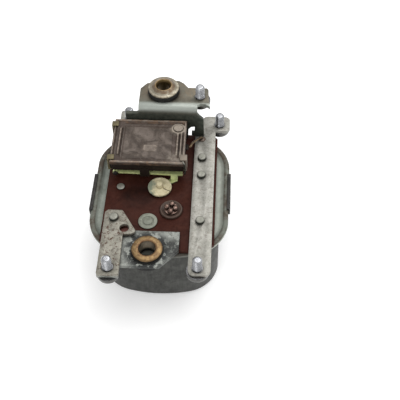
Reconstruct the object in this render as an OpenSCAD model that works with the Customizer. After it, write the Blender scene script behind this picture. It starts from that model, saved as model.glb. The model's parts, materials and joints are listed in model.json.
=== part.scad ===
// Pressure switch on a drawn can: a capsule and spring package in the can,
// a terminal board in a pressed tray above it, and a snap switch on the board.
// The origin is the centre of the can's flat base. +Z is up, +Y is to the rear.

/* [Can] */
// Outside width of the can wall
can_w = 61.8; // [61:0.2:63]
// Outside depth of the can wall
can_d = 74.8; // [74.4:0.2:75.2]
// Corner radius of the can wall
can_r = 19; // [18.5:0.5:19.5]
// Outward bow of the can's and tray's front and rear walls
bow = 1.4; // [1:0.1:1.6]
// Sheet thickness of the can
can_t = 1; // [0.8:0.1:1.1]
// Height of the terminal board's top face above the base
board_top = 40.5; // [40:0.5:42]

/* [Tray] */
// Outside width of the tray
tray_w = 70.8; // [70.4:0.2:71.4]
// Outside depth of the tray
tray_d = 81.2; // [81:0.2:81.6]
// Corner radius of the tray
tray_r = 22; // [21.5:0.5:22.5]
// Sheet thickness of the tray
tray_t = 1; // [0.8:0.1:1]
// Length of a side clip along the tray
clip_l = 23.8; // [18:0.2:25]

/* [Terminal board] */
// Width of the board
board_w = 56.8; // [56:0.2:57.2]
// Thickness of the board
board_t = 2; // [1.9:0.1:2.1]
// Depth of the board
board_d = 77.2; // [76.6:0.2:77.6]

/* [Strips and terminals] */
// Thickness of the metal strips and brackets
strip_t = 2; // [1.9:0.1:2]
// Width of the terminal strips
strip_w = 11; // [10.8:0.1:11.2]
// Radius of the terminal screws' shanks
screw_r = 2.42; // [2.35:0.01:2.5]
// Height of a terminal screw above its strip
screw_up = 7.2; // [6:0.2:9]
// Radius of the terminal screws' heads
head_r = 5.6; // [5:0.1:5.8]

/* [Mount bushes] */
// Radius of the hole through the front mounting bush
front_bore = 4.15; // [4:0.05:4.3]
// Radius of the hole through the rear mounting bush
rear_bore = 3.3; // [3.1:0.05:3.6]
// Radius of the front bush's flange
front_flange_r = 7.6; // [7.4:0.1:7.9]
// Radius of the rear bush's flange
rear_flange_r = 8.2; // [8:0.1:8.4]
// Height of the rear bracket's top face above the board
rear_h = 22.8; // [22:0.2:24]

/* [Switch block] */
// Width of the switch cover
cover_w = 38.5; // [38.1:0.1:38.7]
// Depth of the switch cover
cover_d = 30.8; // [30.6:0.1:30.8]
// Height of the cover's lip above the board
cover_h = 14.5; // [14.3:0.1:15]
// Depth of the recess inside the cover's lip
lip_h = 0.8; // [0.5:0.1:1]

/* [Plunger and lever] */
// Radius of the plunger disc
disc_r = 6.2; // [6:0.1:6.2]
// Radius of the push rod
rod_r = 1.5; // [1.4:0.05:1.5]
// Thickness of the lever
lever_t = 1; // [0.8:0.1:1]

/* [Adjuster] */
// Radius of the adjuster's collar
collar_r = 5.75; // [5.5:0.05:5.8]
// Radius of the castellated head
knob_r = 3.8; // [3.5:0.1:3.9]

/* [Hidden] */
$fn = 64;
eps = 0.01;
bt = board_top;

// Levels of the tray's crest, trough and hem and of the can's rim, above the base
crest_z = bt - board_t;
floor_z = crest_z - 1.8;
under_z = floor_z - tray_t;
gasket_t = 0.8;
rim_z = under_z - gasket_t;
hem_z = crest_z - 2;

// Places on the board, seen from above
plunger_at = [-0.7, 2.2];
adjuster_at = [6.1, -11.6];
post_at = [-5.2, -19.1];
board_rivet_at = [-21.2, 2.7];
front_bush_at = [-3.8, -38];
board_relief_r = 9.4;
tray_relief_r = 9.6;
rear_bush_at = [-1.2, 51];
bush_hole_r = 5.1;
right_strip_x = 16.3;
right_rivets_at = [[20.5, 22.4], [20.6, 10.5], [21.1, -19.2]];
left_rivet_at = [-21.9, -20.3];
left_hole_at = [-16.1, -26.2];
rear_rivets_at = [[-21, 27], [-21, 34]];
front_left_screw = [-21.7, -49.2];
front_right_screw = [20.9, -46.9];
rear_right_screw = [29.3, 47.8];
rear_left_screw = [-21.1, 50.5];
arm_screw = [18.4, 48.1];
solder_at = [19.9, 36.4];
tray_y = 2;
board_y = 2.4;
clip_y = [0.2, 3.1];

// Rear bracket: a web standing on the board, bent into a plate above
web_y = 38.6;
web_z = bt + strip_t;
plate_z = bt + rear_h;
bend_r = 3.2;

// Switch block
cover_x = -26.6;
cover_y = 7.4;
base_z = bt;
carrier_z = bt + 7.5;
floor_top = bt + 9;
cover_top = bt + cover_h;
cover_z = cover_top - lip_h - 1.3;
cover_screw_at = [7.6, 32];
pivot_at = [-24.3, bt + 4.1];
lever_y = 9;
lever_w = 3;
lever_z = bt + 3.6;
button_at = [-8.8, 10.5];
blade_x = -10.6;
blade_w = 3.6;
blade_z = bt + 10;
blade_root = 31;
curl_r = 0.5;
contact_y = 14.5;

// Capsule and springs
capsule_r = 20;
capsule_z = can_t;
capsule_top = capsule_z + 10;
membrane_t = 0.8;
ring_top = capsule_top + membrane_t + 3;
port_z = 6.8;
port_r = 1.8;
port_flange_r = 5.7;
thread_r = 4.6;
nut_t = 4;
port_l = 11;
spring_plate_z = ring_top + 3.5;
spring_plate_t = 1.5;
spring_floor = spring_plate_z + spring_plate_t;
guide_flange_z = crest_z - 2;
seat_z = spring_floor + 9.7;
seat_t = 2;
running = 0.05;

// ---- outlines and tubes ----

// One bowed end wall: a sector of a large circle that runs into the corner circles.
// It is a hair rounder than a tangent arc, so that it crosses them cleanly.
module bow_sector(half, r, end, side) {
    tangent = half * half / (2 * bow) + bow / 2 + r;
    big = 0.995 * tangent;
    y = end - side * big;
    corner_y = end - side * (r + bow);
    reach = 1.1 * tangent / (tangent - r);
    intersection() {
        translate([0, y]) circle(big, $fn = 360);
        polygon([[half, corner_y], [half * reach, y + (corner_y - y) * reach],
            [-half * reach, y + (corner_y - y) * reach], [-half, corner_y]]);
    }
}

// Outline [width, front, rear, corner radius] with bowed front and rear walls
module bowed(o) {
    half = o[0] / 2 - o[3];
    inner = o[3] + bow;
    square_front = o[1] + inner;
    square_rear = o[2] - inner;
    translate([-o[0] / 2, square_front]) square([o[0], square_rear - square_front]);
    translate([-half, o[1] + bow]) square([2 * half, o[2] - o[1] - 2 * bow]);
    for (x = [-half, half], y = [square_front, square_rear]) translate([x, y]) circle(o[3]);
    bow_sector(half, o[3], o[1], -1);
    bow_sector(half, o[3], o[2], 1);
}

function inset(o, t) = [o[0] - 2 * t, o[1] + t, o[2] - t, o[3] - t];

module bowed_plate(o, z0, z1) {
    translate([0, 0, z0]) linear_extrude(z1 - z0) bowed(o);
}

// A frame between an outline and the same outline inset by t
module bowed_frame(o, t, z0, z1) {
    difference() {
        bowed_plate(o, z0, z1);
        bowed_plate(inset(o, t), z0 - 1, z1 + 1);
    }
}

module rod(at, r, z0, z1) {
    translate([at[0], at[1], z0]) cylinder(r = r, h = z1 - z0);
}

module washer(at, r, hole, z0, z1) {
    difference() {
        rod(at, r, z0, z1);
        rod(at, hole, z0 - 1, z1 + 1);
    }
}

// A rod lying along +Y
module rod_y(x, z, r, y0, y1) {
    translate([x, y0, z]) rotate([-90, 0, 0]) cylinder(r = r, h = y1 - y0);
}

module block(x0, x1, y0, y1, z0, z1) {
    translate([x0, y0, z0]) cube([x1 - x0, y1 - y0, z1 - z0]);
}

// A flat bar from one place to another, seen from above
module bar(a, b, w) {
    translate(a) rotate(atan2(b[1] - a[1], b[0] - a[0]))
        translate([0, -w / 2]) square([norm(b - a), w]);
}

function unit(v) = v / norm(v);

// Direction of a path at its point i
function heading(p, i) = unit(p[min(i + 1, len(p) - 1)] - p[max(i - 1, 0)]);

// Ring of points around a path's point i; side is a direction that the path never takes
function ring_at(p, i, r, sides, side) =
    let (t = heading(p, i), u = unit(cross(t, side)), v = cross(u, t))
    [for (k = [0 : sides - 1])
        p[i] + r * (cos(360 * k / sides) * u + sin(360 * k / sides) * v)];

module tube(p, r, sides = 8, side = [0, 0, 1]) {
    rings = len(p);
    points = [for (i = [0 : rings - 1]) each ring_at(p, i, r, sides, side)];
    walls = [for (i = [0 : rings - 2], k = [0 : sides - 1])
        let (a = i * sides, b = (k + 1) % sides)
        each [[a + k, a + b, a + sides + b], [a + k, a + sides + b, a + sides + k]]];
    first = [for (k = [sides - 1 : -1 : 0]) k];
    last = [for (k = [0 : sides - 1]) (rings - 1) * sides + k];
    polyhedron(points, concat(walls, [first, last]), convexity = 10);
}

// Points of a coil about a vertical axis
function coil(at, r, z0, z1, turns, steps = 20) =
    [for (i = [0 : turns * steps])
        [at[0] + r * cos(360 * i / steps), at[1] + r * sin(360 * i / steps),
         z0 + (z1 - z0) * i / (turns * steps)]];

// A bend through the given points, as a Catmull-Rom curve
function bend_point(a, b, c, d, t) =
    0.5 * (2 * b + (c - a) * t + (2 * a - 5 * b + 4 * c - d) * t * t
        + (3 * b - a - 3 * c + d) * t * t * t);
function bend(p, steps = 6) = concat(
    [for (i = [0 : len(p) - 2], k = [0 : steps - 1])
        bend_point(p[max(i - 1, 0)], p[i], p[i + 1], p[min(i + 2, len(p) - 1)], k / steps)],
    [p[len(p) - 1]]);

// ---- can, tray and board ----

floor_rivets_at = [for (a = [30, 150, 270])
    [plunger_at[0] + 16 * cos(a), plunger_at[1] + 16 * sin(a)]];

can_outline = [can_w, -can_d / 2, can_d / 2, can_r];
tray_outline = [tray_w, tray_y - tray_d / 2, tray_y + tray_d / 2, tray_r];

module pressure_can() {
    inner = can_d / 2 - can_t;
    color("dimgray") difference() {
        bowed_plate(can_outline, 0, rim_z);
        bowed_plate(inset(can_outline, can_t), can_t, rim_z + 1);
        rod_y(plunger_at[0], port_z, shank_r + 0.1, inner - 2, can_d / 2 + 1);
        // Flat seat for the inlet's seal
        rod_y(plunger_at[0], port_z, port_flange_r + 0.05, inner - 1, inner);
        for (p = floor_rivets_at) rod(p, 2.2, -1, can_t + 1);
    }
}

module floor_rivets() {
    color("gray") for (p = floor_rivets_at) rod(p, 2.2, 0, can_t + 3);
}

module can_gasket() {
    color("black") bowed_frame(can_outline, 3, rim_z, under_z);
}

module tray_frame() {
    color("darkseagreen") difference() {
        union() {
            bowed_frame(tray_outline, 3, hem_z, crest_z);
            bowed_frame(inset(tray_outline, 2), 1, under_z, crest_z);
            bowed_frame(inset(tray_outline, 2), 9, under_z, floor_z);
        }
        // Hollow of the rolled hem
        bowed_frame(inset(tray_outline, tray_t), 1, hem_z - 1, crest_z - tray_t);
        // Relief for the front bush
        rod(front_bush_at, tray_relief_r, floor_z - 0.3, crest_z + 1);
    }
}

module side_clips() {
    outer = tray_w / 2 + 0.8;
    color("darkslategray") for (k = [0, 1]) translate([0, clip_y[k], 0]) scale([2 * k - 1, 1, 1]) {
        block(tray_w / 2, outer, -clip_l / 2, clip_l / 2, under_z - 0.8, crest_z + 0.8);
        block(tray_w / 2 - 1, outer, -clip_l / 2, clip_l / 2, crest_z, crest_z + 0.8);
        block(can_w / 2 + 0.8, outer, -clip_l / 2, clip_l / 2, under_z - 0.8, under_z);
    }
}

module board_spacer() {
    color("black") difference() {
        bowed_frame(inset(tray_outline, 8), 3, floor_z, crest_z);
        rod(front_bush_at, tray_relief_r, floor_z - 1, crest_z + 1);
        for (p = concat(rear_rivets_at, [left_rivet_at])) rod(p, 2.4, floor_z - 1, crest_z + 1);
    }
}

module terminal_board() {
    x = board_w / 2;
    front = board_y - board_d / 2;
    rear = board_y + board_d / 2;
    color("saddlebrown") difference() {
        translate([0.15, 0, crest_z]) linear_extrude(board_t) polygon([
            [-x, front + 4.5], [-x + 6, front], [x - 6, front], [x, front + 4.5],
            [x, rear - 2.5], [x - 2.5, rear], [-x + 2.5, rear], [-x, rear - 2.5]]);
        rod(front_bush_at, board_relief_r, crest_z - 1, bt + 1);
        rod(plunger_at, 3.2, crest_z - 1, bt + 1);
        rod(adjuster_at, 4, crest_z - 1, bt + 1);
        rod(post_at, 2.5, crest_z - 1, bt + 1);
        rod(board_rivet_at, 1.5, crest_z - 1, bt + 1);
        rod(solder_at, 1.2, crest_z - 1, bt + 1);
        for (p = concat(right_rivets_at, rear_rivets_at, [left_rivet_at]))
            rod(p, 1.4, crest_z - 1, bt + 1);
        block(16.7, 18.7, web_y - 0.1, web_y + strip_t + 0.1, crest_z - 1, bt + 1);
        block(-20.1, -16.9, web_y - 0.1, web_y + strip_t + 0.1, crest_z - 1, bt + 1);
    }
}

module board_rivet() {
    color("silver") {
        rod(board_rivet_at, 2.1, bt, bt + 0.7);
        rod(board_rivet_at, 1.5, floor_z, bt);
    }
}

// ---- strips ----

module corner_cut(w, d, r) {
    translate([r, 0]) square([w - 2 * r, d]);
    translate([0, r]) square([w, d - 2 * r]);
    for (x = [r, w - r], y = [r, d - r]) translate([x, y]) circle(r);
}

module right_strip() {
    front = -50.8;
    ear_x = 19.9;
    ear_y = 42.8;
    color("lightgray") difference() {
        translate([0, 0, bt]) linear_extrude(strip_t) {
            translate([right_strip_x, front]) corner_cut(strip_w, 94.5, 3.2);
            translate([ear_x, 30]) square([strip_w - 3.6, 17]);
            translate([ear_x, ear_y]) corner_cut(15.2, 10.9, 3);
        }
        for (p = right_rivets_at) rod(p, 1.4, bt - 1, bt + strip_t + 1);
        for (p = [front_right_screw, rear_right_screw])
            rod(p, shoulder_r, bt - 1, bt + strip_t + 1);
        rod(solder_at, 1.2, bt - 1, bt + strip_t + 1);
        block(16.7, 18.7, web_y - 0.1, web_y + strip_t + 0.1, bt - 1, bt + strip_t + 1);
    }
}

// A rivet with a thick head above and a thin one below
module rivet(p, z_head, z_low, high = 1.8) {
    rod(p, 2.3, z_head, z_head + high);
    rod(p, 1.4, z_low, z_head);
    rod(p, 2, z_low - 0.7, z_low);
}

module right_strip_rivets() {
    color("gray") for (p = right_rivets_at) rivet(p, bt + strip_t, crest_z);
}

module left_strip() {
    z = bt + strip_t;
    color("lightgray") difference() {
        translate([0, 0, z]) linear_extrude(strip_t) polygon([
            [-26.8, -52.7], [-26.3, -53.2], [-16.6, -53.2], [-16.1, -52.7],
            [-16.4, -30], [-12.4, -29.6], [-10.7, -28.7], [-10.4, -27.4],
            [-17.7, -15.7], [-18.5, -15.2], [-25.2, -15.2], [-26.7, -16.6]]);
        rod(left_hole_at, 2.35, z - 1, z + strip_t + 1);
        rod(left_rivet_at, 1.4, z - 1, z + strip_t + 1);
        rod(front_left_screw, shoulder_r, z - 1, z + strip_t + 1);
    }
}

module left_strip_spacer() {
    color("gray") washer(left_rivet_at, 3, 1.4, bt, bt + strip_t);
}

module left_strip_rivet() {
    color("gray") rivet(left_rivet_at, bt + 2 * strip_t, crest_z);
}

module rear_left_strip() {
    color("lightgray") difference() {
        translate([-26.3, 24, bt]) linear_extrude(strip_t) corner_cut(strip_w, 32.4, 1.5);
        for (p = rear_rivets_at) rod(p, 1.4, bt - 1, bt + strip_t + 1);
        rod(rear_left_screw, shoulder_r, bt - 1, bt + strip_t + 1);
        block(-20.1, -16.9, web_y - 0.1, web_y + strip_t + 0.1, bt - 1, bt + strip_t + 1);
    }
}

module rear_left_rivets() {
    color("gray") for (p = rear_rivets_at) rivet(p, bt + strip_t, crest_z, 1);
}

// Radius of the pressed shoulder between a screw's head and its shank
shoulder_r = screw_r + 0.4;

module terminal_screw(p, under, over) {
    rod(p, head_r, under - 3, under);
    rod(p, shoulder_r, under, over);
    rod(p, screw_r, over, over + screw_up);
}

module terminal_screws() {
    color("gainsboro") {
        terminal_screw(front_left_screw, bt, bt + 2 * strip_t);
        terminal_screw(front_right_screw, bt, bt + strip_t);
        terminal_screw(rear_right_screw, bt, bt + strip_t);
        terminal_screw(rear_left_screw, bt, bt + strip_t);
        terminal_screw(arm_screw, plate_z - strip_t, plate_z);
    }
}

// ---- mounts ----

module front_bracket() {
    color("silver") difference() {
        translate([0, 0, bt]) linear_extrude(strip_t) polygon([
            [-26.8, -53], [-16.4, -53], [-16.6, -47.1], [2.4, -47.1], [11.4, -37.4],
            [11.4, -26.2], [-10.8, -26.2], [-13, -27.5], [-19.8, -27.5], [-26.6, -32]]);
        rod(front_bush_at, 6.5, bt - 1, bt + strip_t + 1);
        rod(front_left_screw, shoulder_r, bt - 1, bt + strip_t + 1);
        rod([-11.6, -29.9], 0.8, bt + 1.2, bt + strip_t + 1);
    }
}

// A rubber ring with a groove that holds the edge of a plate between z0 and z1
module grommet(at, r, low_r, z0, z1, low, high) {
    difference() {
        union() {
            rod(at, low_r, z0 - low, z0);
            rod(at, 6.5, z0, z1);
            rod(at, r, z1, z1 + high);
        }
        rod(at, bush_hole_r, z0 - low - 1, z1 + high + 1);
    }
}

// A flanged tube; its flange rises towards the hole
module bush(at, bore, flange, z0, z_flange, z1, rise) {
    difference() {
        union() {
            rod(at, bush_hole_r, z0, z1);
            rod(at, flange, z_flange, z1);
            translate([at[0], at[1], z1]) cylinder(r1 = flange - 0.6, r2 = bore + 1, h = rise);
        }
        rod(at, bore, z0 - 1, z1 + rise + 1);
    }
}

module front_grommet() {
    color("black") grommet(front_bush_at, 8.1, 9.1, bt, bt + strip_t, 2.6, 0.6);
}

module front_washers() {
    color("silver") {
        washer(front_bush_at, 7.4, bush_hole_r, bt + strip_t + 0.6, bt + 3.4);
        washer(front_bush_at, 7.4, bush_hole_r, bt - 3.5, bt - 2.6);
    }
}

module front_bush() {
    color("goldenrod")
        bush(front_bush_at, front_bore, front_flange_r, bt - 3.9, bt + 3.4, bt + 4.1, 0.4);
}

module rear_bracket() {
    low = plate_z - bend_r;
    color("silver") difference() {
        union() {
            // Upper plate
            translate([0, 0, plate_z - strip_t]) linear_extrude(strip_t) polygon([
                [-14, web_y + bend_r], [-14, 53.2], [-10.9, 57.2], [-4, 59.6], [6.6, 59.8],
                [9.3, 57.9], [11.8, 54.6], [22, 54.6], [22.8, 53.4], [23.1, 47.1],
                [24, 40.5], [21.3, 42.5], [18.8, 42.5], [17.3, web_y + bend_r]]);
            // Bend between web and plate
            intersection() {
                translate([-14, web_y + bend_r, low]) rotate([0, 90, 0])
                    cylinder(r = bend_r, h = 31.3);
                block(-14, 17.3, web_y, web_y + bend_r, low, plate_z);
            }
            // Web with a leg at each end
            translate([0, web_y + strip_t, 0]) rotate([90, 0, 0]) linear_extrude(strip_t)
                polygon([
                    [-21.1, web_z], [-21.1, bt + 18.2], [-15.4, bt + 18.2],
                    [-14.4, bt + 18.7], [-14, low],
                    [17.3, low], [17.3, bt + 18.5], [18.7, bt + 16.5], [20.6, bt + 14.6],
                    [20.9, web_z], [18.6, web_z], [18.6, crest_z], [16.8, crest_z],
                    [16.8, web_z], [14.2, web_z], [14.2, bt + 4.4], [15.7, bt + 4.4],
                    [15.9, bt + 9.2], [13.9, bt + 8.8], [12.5, bt + 7], [12.2, bt + eps],
                    [-14, bt + eps], [-14, web_z], [-17, web_z],
                    [-17, crest_z], [-20, crest_z], [-20, web_z]]);
        }
        translate([-15, web_y + bend_r, low]) rotate([0, 90, 0])
            cylinder(r = bend_r - strip_t, h = 40);
        rod(rear_bush_at, 6.5, plate_z - 3, plate_z + 1);
        rod(arm_screw, shoulder_r, plate_z - 3, plate_z + 1);
    }
}

module rear_grommet() {
    color("black") grommet(rear_bush_at, 8.5, 8.5, plate_z - strip_t, plate_z, 1.2, 2.5);
}

module rear_washer() {
    color("silver") washer(rear_bush_at, 8.2, bush_hole_r, plate_z - strip_t - 2.1,
        plate_z - strip_t - 1.2);
}

module rear_bush() {
    color("darkkhaki") bush(rear_bush_at, rear_bore, rear_flange_r,
        plate_z - strip_t, plate_z + 2.5, plate_z + 3.4, 1.9);
}

// ---- switch block ----

module switch_base() {
    color("maroon") difference() {
        block(-25.4, 11, 14, 38.2, base_z, carrier_z);
        block(-23.4, 9, 16, 36.2, base_z + 3.6, carrier_z + 1);
        // Recess over the rear left strip and its rivets
        block(-27, -14.8, 23.6, 39, base_z - 1, base_z + 3.3);
        rod_y(pivot_at[0], pivot_at[1], 0.8, 13, 16.5);
        rod(cover_screw_at, 1.2, base_z + 2, carrier_z + 1);
    }
}

module switch_carrier() {
    color("maroon") difference() {
        union() {
            difference() {
                block(-26, 11.4, 8.1, 38, carrier_z, cover_z);
                block(-24.6, 10, 9, 36.6, floor_top, cover_z + 1);
            }
            rod(cover_screw_at, 2.5, floor_top, cover_z);
            // Guide for the button, hanging over the lever
            block(-11.3, -6.4, 7.7, 13.9, bt + 7, floor_top);
            block(-11.3, -6.4, 7.7, 8.4, bt + 3, floor_top);
        }
        rod(button_at, 1.05, bt + 6, floor_top + 1);
        rod(cover_screw_at, 1.25, carrier_z - 1, cover_z + 1);
    }
}

module switch_cover() {
    w = cover_w;
    d = cover_d;
    rib_z = cover_top - lip_h - eps;
    color("rosybrown") difference() {
        union() {
            translate([cover_x, cover_y, cover_z]) difference() {
                cube([w, d, cover_top - cover_z]);
                // Recess inside the lip
                translate([1.5, 1.5, cover_top - cover_z - lip_h]) cube([w - 3, d - 3, 5]);
            }
            // Blank raised pad and the edges of the middle panel
            block(-20.6, 4.8, 10.6, 33, rib_z, cover_top - 0.35);
            block(-9.6, -2.8, 15.7, 20.1, rib_z, cover_top);
            // Side ribs
            block(-23.4, -21.8, 13.8, 33, rib_z, cover_top);
            block(6.9, 8.2, 13.2, 28, rib_z, cover_top);
            block(8.9, 10, 11.6, 28, rib_z, cover_top);
            rod(cover_screw_at, 4, rib_z, cover_top + 0.3);
        }
        rod(cover_screw_at, 1.25, cover_z - 1, cover_top + 1);
        rod(cover_screw_at, 2.5, cover_top - 0.6, cover_top + 1);
    }
}

module cover_screw() {
    color("rosybrown") {
        rod(cover_screw_at, 2.45, cover_top - 0.6, cover_top + 0.5);
        rod(cover_screw_at, 1.2, base_z + 2.2, cover_top - 0.6);
    }
}

// A snap clip from under the carrier over the cover's lip; side is -1 at the left, 1 at the right
module snap_clip(side, edge, y0, y1) {
    hook_t = 0.9;
    over = edge - side * 2.3;
    under = side < 0 ? -25.5 : 11.1;
    outer = edge + side * 1.3;
    block(min(edge, outer), max(edge, outer), y0, y1, carrier_z - hook_t, cover_top + 0.7);
    block(min(over, outer), max(over, outer), y0, y1, cover_top, cover_top + 0.7);
    block(min(under, outer), max(under, outer), y0, y1, carrier_z - hook_t, carrier_z);
}

module cover_clip() {
    color("olive") {
        snap_clip(-1, cover_x, 32.3, 35.6);
        snap_clip(-1, cover_x, 8.8, 12);
        snap_clip(1, cover_x + cover_w, 9.2, 13.2);
    }
}

wire_clip_route = [
    [11.6, 13.5, 5.5], [11.7, 12.6, 3], [11.9, 9, 4.2], [12.3, 6.9, 8], [12.3, 6.7, 12.5],
    [12.1, 6.9, 14.6], [11.5, 7.6, 15.1], [11.2, 8.4, 14.95]];

module wire_clip() {
    color("silver") tube(bend([for (p = wire_clip_route) p + [0, 0, bt]], 4), 0.35, 8,
        side = [1, 0, 0]);
}

module switch_terminals() {
    color("olive") {
        block(-29.6, -26, 14, 16.2, floor_top - 1.45, floor_top - 0.75);
        block(11.4, 13.2, 22.8, 26.6, floor_top - 1.4, floor_top - 0.6);
    }
}

module contact_nc() {
    color("goldenrod") {
        block(-10.4, 2, 13.2, 15.8, floor_top, floor_top + 0.3);
        rod([button_at[0], contact_y], 1.2, floor_top + 0.3, floor_top + 0.45);
    }
}

module contact_no() {
    z = blade_z + 1.7;
    color("goldenrod") {
        block(-10.4, -3.4, 13.2, 15.8, z, z + 0.4);
        block(-4, -3.4, 16.1, 20, floor_top, z + 0.4);
        block(-4, -3.4, 13.2, 16.2, floor_top + 0.5, z + 0.4);
    }
}

module blade_clamp() {
    color("goldenrod") {
        block(blade_x, blade_x + blade_w, blade_root + curl_r + running, 35.5,
            floor_top, blade_z + 0.3);
        rod([blade_x + blade_w / 2, 33.4], 1.4, blade_z + 0.3, blade_z + 1.3);
    }
}

module contact_blade() {
    color("gold") {
        block(blade_x, blade_x + blade_w, 9.2, blade_root, blade_z, blade_z + 0.3);
        rod([button_at[0], contact_y], 1.2, blade_z - 0.5, blade_z + 1);
        // Curled root that the blade hinges on
        translate([blade_x, blade_root, blade_z + 0.15]) rotate([0, 90, 0])
            cylinder(r = curl_r, h = blade_w);
    }
}

module switch_button() {
    low = lever_z + lever_t + running;
    color("ivory") {
        rod(button_at, 1, low + 1, floor_top + 0.1);
        translate([button_at[0], button_at[1], low + 1]) sphere(r = 1);
        rod(button_at, 1.4, floor_top + 0.1, blade_z - 0.12);
    }
}

jumper_route = [[13.4, 24.9, 8.1], [14.2, 25.1, 8.1], [15, 28, 7.6], [16.8, 31.4, 6],
    [18.7, 34.8, 4.4], [19.8, 36.2, 3.4], [19.9, 36.4, 2.6]];

module jumper_wire() {
    color("peru") tube(bend([for (p = jumper_route) p + [0, 0, bt]], 3), 0.65, 8,
        side = [1, -1, 0]);
}

module solder_joint() {
    color("gray") {
        rod(solder_at, 2.1, bt + strip_t, bt + strip_t + 0.6);
        rod(solder_at, 1.2, crest_z, bt + strip_t);
    }
}

// ---- lever and plunger ----

module switch_lever() {
    y1 = lever_y + lever_w;
    color("yellowgreen") {
        difference() {
            union() {
                translate([0, 0, lever_z]) linear_extrude(lever_t) polygon([
                    [pivot_at[0], lever_y], [pivot_at[0], y1], [10.9, y1 - 0.4],
                    [10.9, lever_y - 0.7]]);
                rod_y(pivot_at[0], pivot_at[1], 1.5, lever_y, y1);
            }
            rod_y(pivot_at[0], pivot_at[1], 0.8 + running, lever_y - 1, y1 + 1);
        }
        // Tab down to the board, with a toe under the plunger disc
        block(4.7, 8.3, 7.5, lever_y + 0.2, bt + 0.25, lever_z + lever_t);
        translate([0, 0, bt + 0.25]) linear_extrude(0.6)
            polygon([[4.7, 9], [8.3, 9], [8.3, 7.5], [4.9, 5.4], [3, 4.6], [2, 6]]);
    }
}

module lever_pivot_pin() {
    color("silver") {
        rod_y(pivot_at[0], pivot_at[1], 0.8, lever_y - 0.6, 16.5);
        rod_y(pivot_at[0], pivot_at[1], 1.3, lever_y - 0.9, lever_y - 0.1);
    }
}

module lever_spring() {
    turns = 2;
    steps = 20;
    wire = 0.2;
    points = [for (i = [0 : turns * steps])
        [pivot_at[0] + 1.4 * cos(360 * i / steps), 12.35 + 1.3 * i / (turns * steps),
         pivot_at[1] + 1.4 * sin(360 * i / steps)]];
    color("silver") tube(points, wire, 8, side = [0, 1, 0]);
}

module plunger_disc() {
    color("wheat") difference() {
        union() {
            rod(plunger_at, disc_r, bt + 0.9, bt + 2.3);
            rod(plunger_at, 2.4, bt + 0.4, bt + 2);
        }
        washer(plunger_at, disc_r - 0.9, 2.4, bt + 1.5, bt + 3);
        rod(plunger_at, 6, bt + 2, bt + 3);
        rod(plunger_at, rod_r, bt, bt + 3);
    }
}

module push_rod() {
    color("silver") rod(plunger_at, rod_r, ring_top, bt + 4.4);
}

module rod_guide() {
    color("goldenrod") difference() {
        union() {
            rod(plunger_at, 9.5, guide_flange_z, crest_z);
            rod(plunger_at, 3.2, crest_z, bt + 0.3);
        }
        rod(plunger_at, rod_r + running, guide_flange_z - 1, bt + 1);
    }
}

// Outline shared by the plates that slide on the guide post
module guided_outline(middle, middle_r, spring_r) {
    translate(middle) circle(middle_r);
    translate(adjuster_at) circle(spring_r);
    translate(post_at) circle(4.4);
    if (middle != adjuster_at) bar(middle, adjuster_at, 8);
    bar(adjuster_at, post_at, 7);
}

module piston_plate() {
    color("silver") difference() {
        union() {
            rod(plunger_at, 12, capsule_top + membrane_t, capsule_top + membrane_t + 1.5);
            rod(plunger_at, 4.5, capsule_top + membrane_t, spring_plate_z);
            translate([0, 0, spring_plate_z]) linear_extrude(spring_plate_t)
                guided_outline(plunger_at, 11, 6);
        }
        rod(post_at, 2.5 + running, spring_plate_z - 1, spring_floor + 1);
        rod(plunger_at, rod_r, ring_top, spring_floor + 1);
    }
}

module range_spring() {
    wire = 0.8;
    color("darkgray") tube(coil(plunger_at, 7, spring_floor + wire, guide_flange_z - wire, 6),
        wire, 8);
}

// ---- capsule and inlet ----

capsule_screws_at = [for (a = [0 : 60 : 300])
    [plunger_at[0] + 17 * cos(a), plunger_at[1] + 17 * sin(a)]];

module diaphragm() {
    color("black") difference() {
        rod(plunger_at, capsule_r, capsule_top, capsule_top + membrane_t);
        for (p = capsule_screws_at) rod(p, 1.3, capsule_top - 1, capsule_top + 2);
    }
}

module capsule_base() {
    x = plunger_at[0];
    color("goldenrod") difference() {
        rod(plunger_at, capsule_r, capsule_z, capsule_top);
        rod(plunger_at, 13, capsule_z + 3.5, capsule_top + 1);
        rod_y(x, port_z, port_r, plunger_at[1], 23);
        rod_y(x, port_z, 4, 17.6, 24);
        for (p = capsule_screws_at) rod(p, 1.3, capsule_top - 6, capsule_top + 1);
        for (p = floor_rivets_at) rod(p, 2.2, capsule_z - 1, capsule_z + 3);
    }
}

module capsule_ring() {
    z = capsule_top + membrane_t;
    color("silver") difference() {
        washer(plunger_at, capsule_r, 13.2, z, ring_top);
        for (p = capsule_screws_at) rod(p, 1.3, z - 1, ring_top + 1);
    }
}

module capsule_screws() {
    color("gray") for (p = capsule_screws_at) {
        rod(p, 1.3, capsule_top - 6, ring_top);
        rod(p, 2.3, ring_top, ring_top + 1.8);
    }
}

// Radius of the fitting's shank through the can wall
shank_r = thread_r + 0.4;

module inlet_fitting() {
    x = plunger_at[0];
    inner = can_d / 2 - can_t;
    color("goldenrod") difference() {
        union() {
            rod_y(x, port_z, 4, 17.6, inner);
            rod_y(x, port_z, port_flange_r, inner - 2.6, inner - 0.8);
            rod_y(x, port_z, shank_r, inner - 0.8, can_d / 2 + nut_t);
            rod_y(x, port_z, thread_r, can_d / 2 + nut_t, can_d / 2 + nut_t + port_l);
        }
        rod_y(x, port_z, port_r, 17, can_d / 2 + 16);
    }
}

module inlet_seal() {
    x = plunger_at[0];
    inner = can_d / 2 - can_t;
    color("black") difference() {
        rod_y(x, port_z, port_flange_r, inner - 0.8, inner);
        rod_y(x, port_z, shank_r, inner - 2, inner + 1);
    }
}

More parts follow.
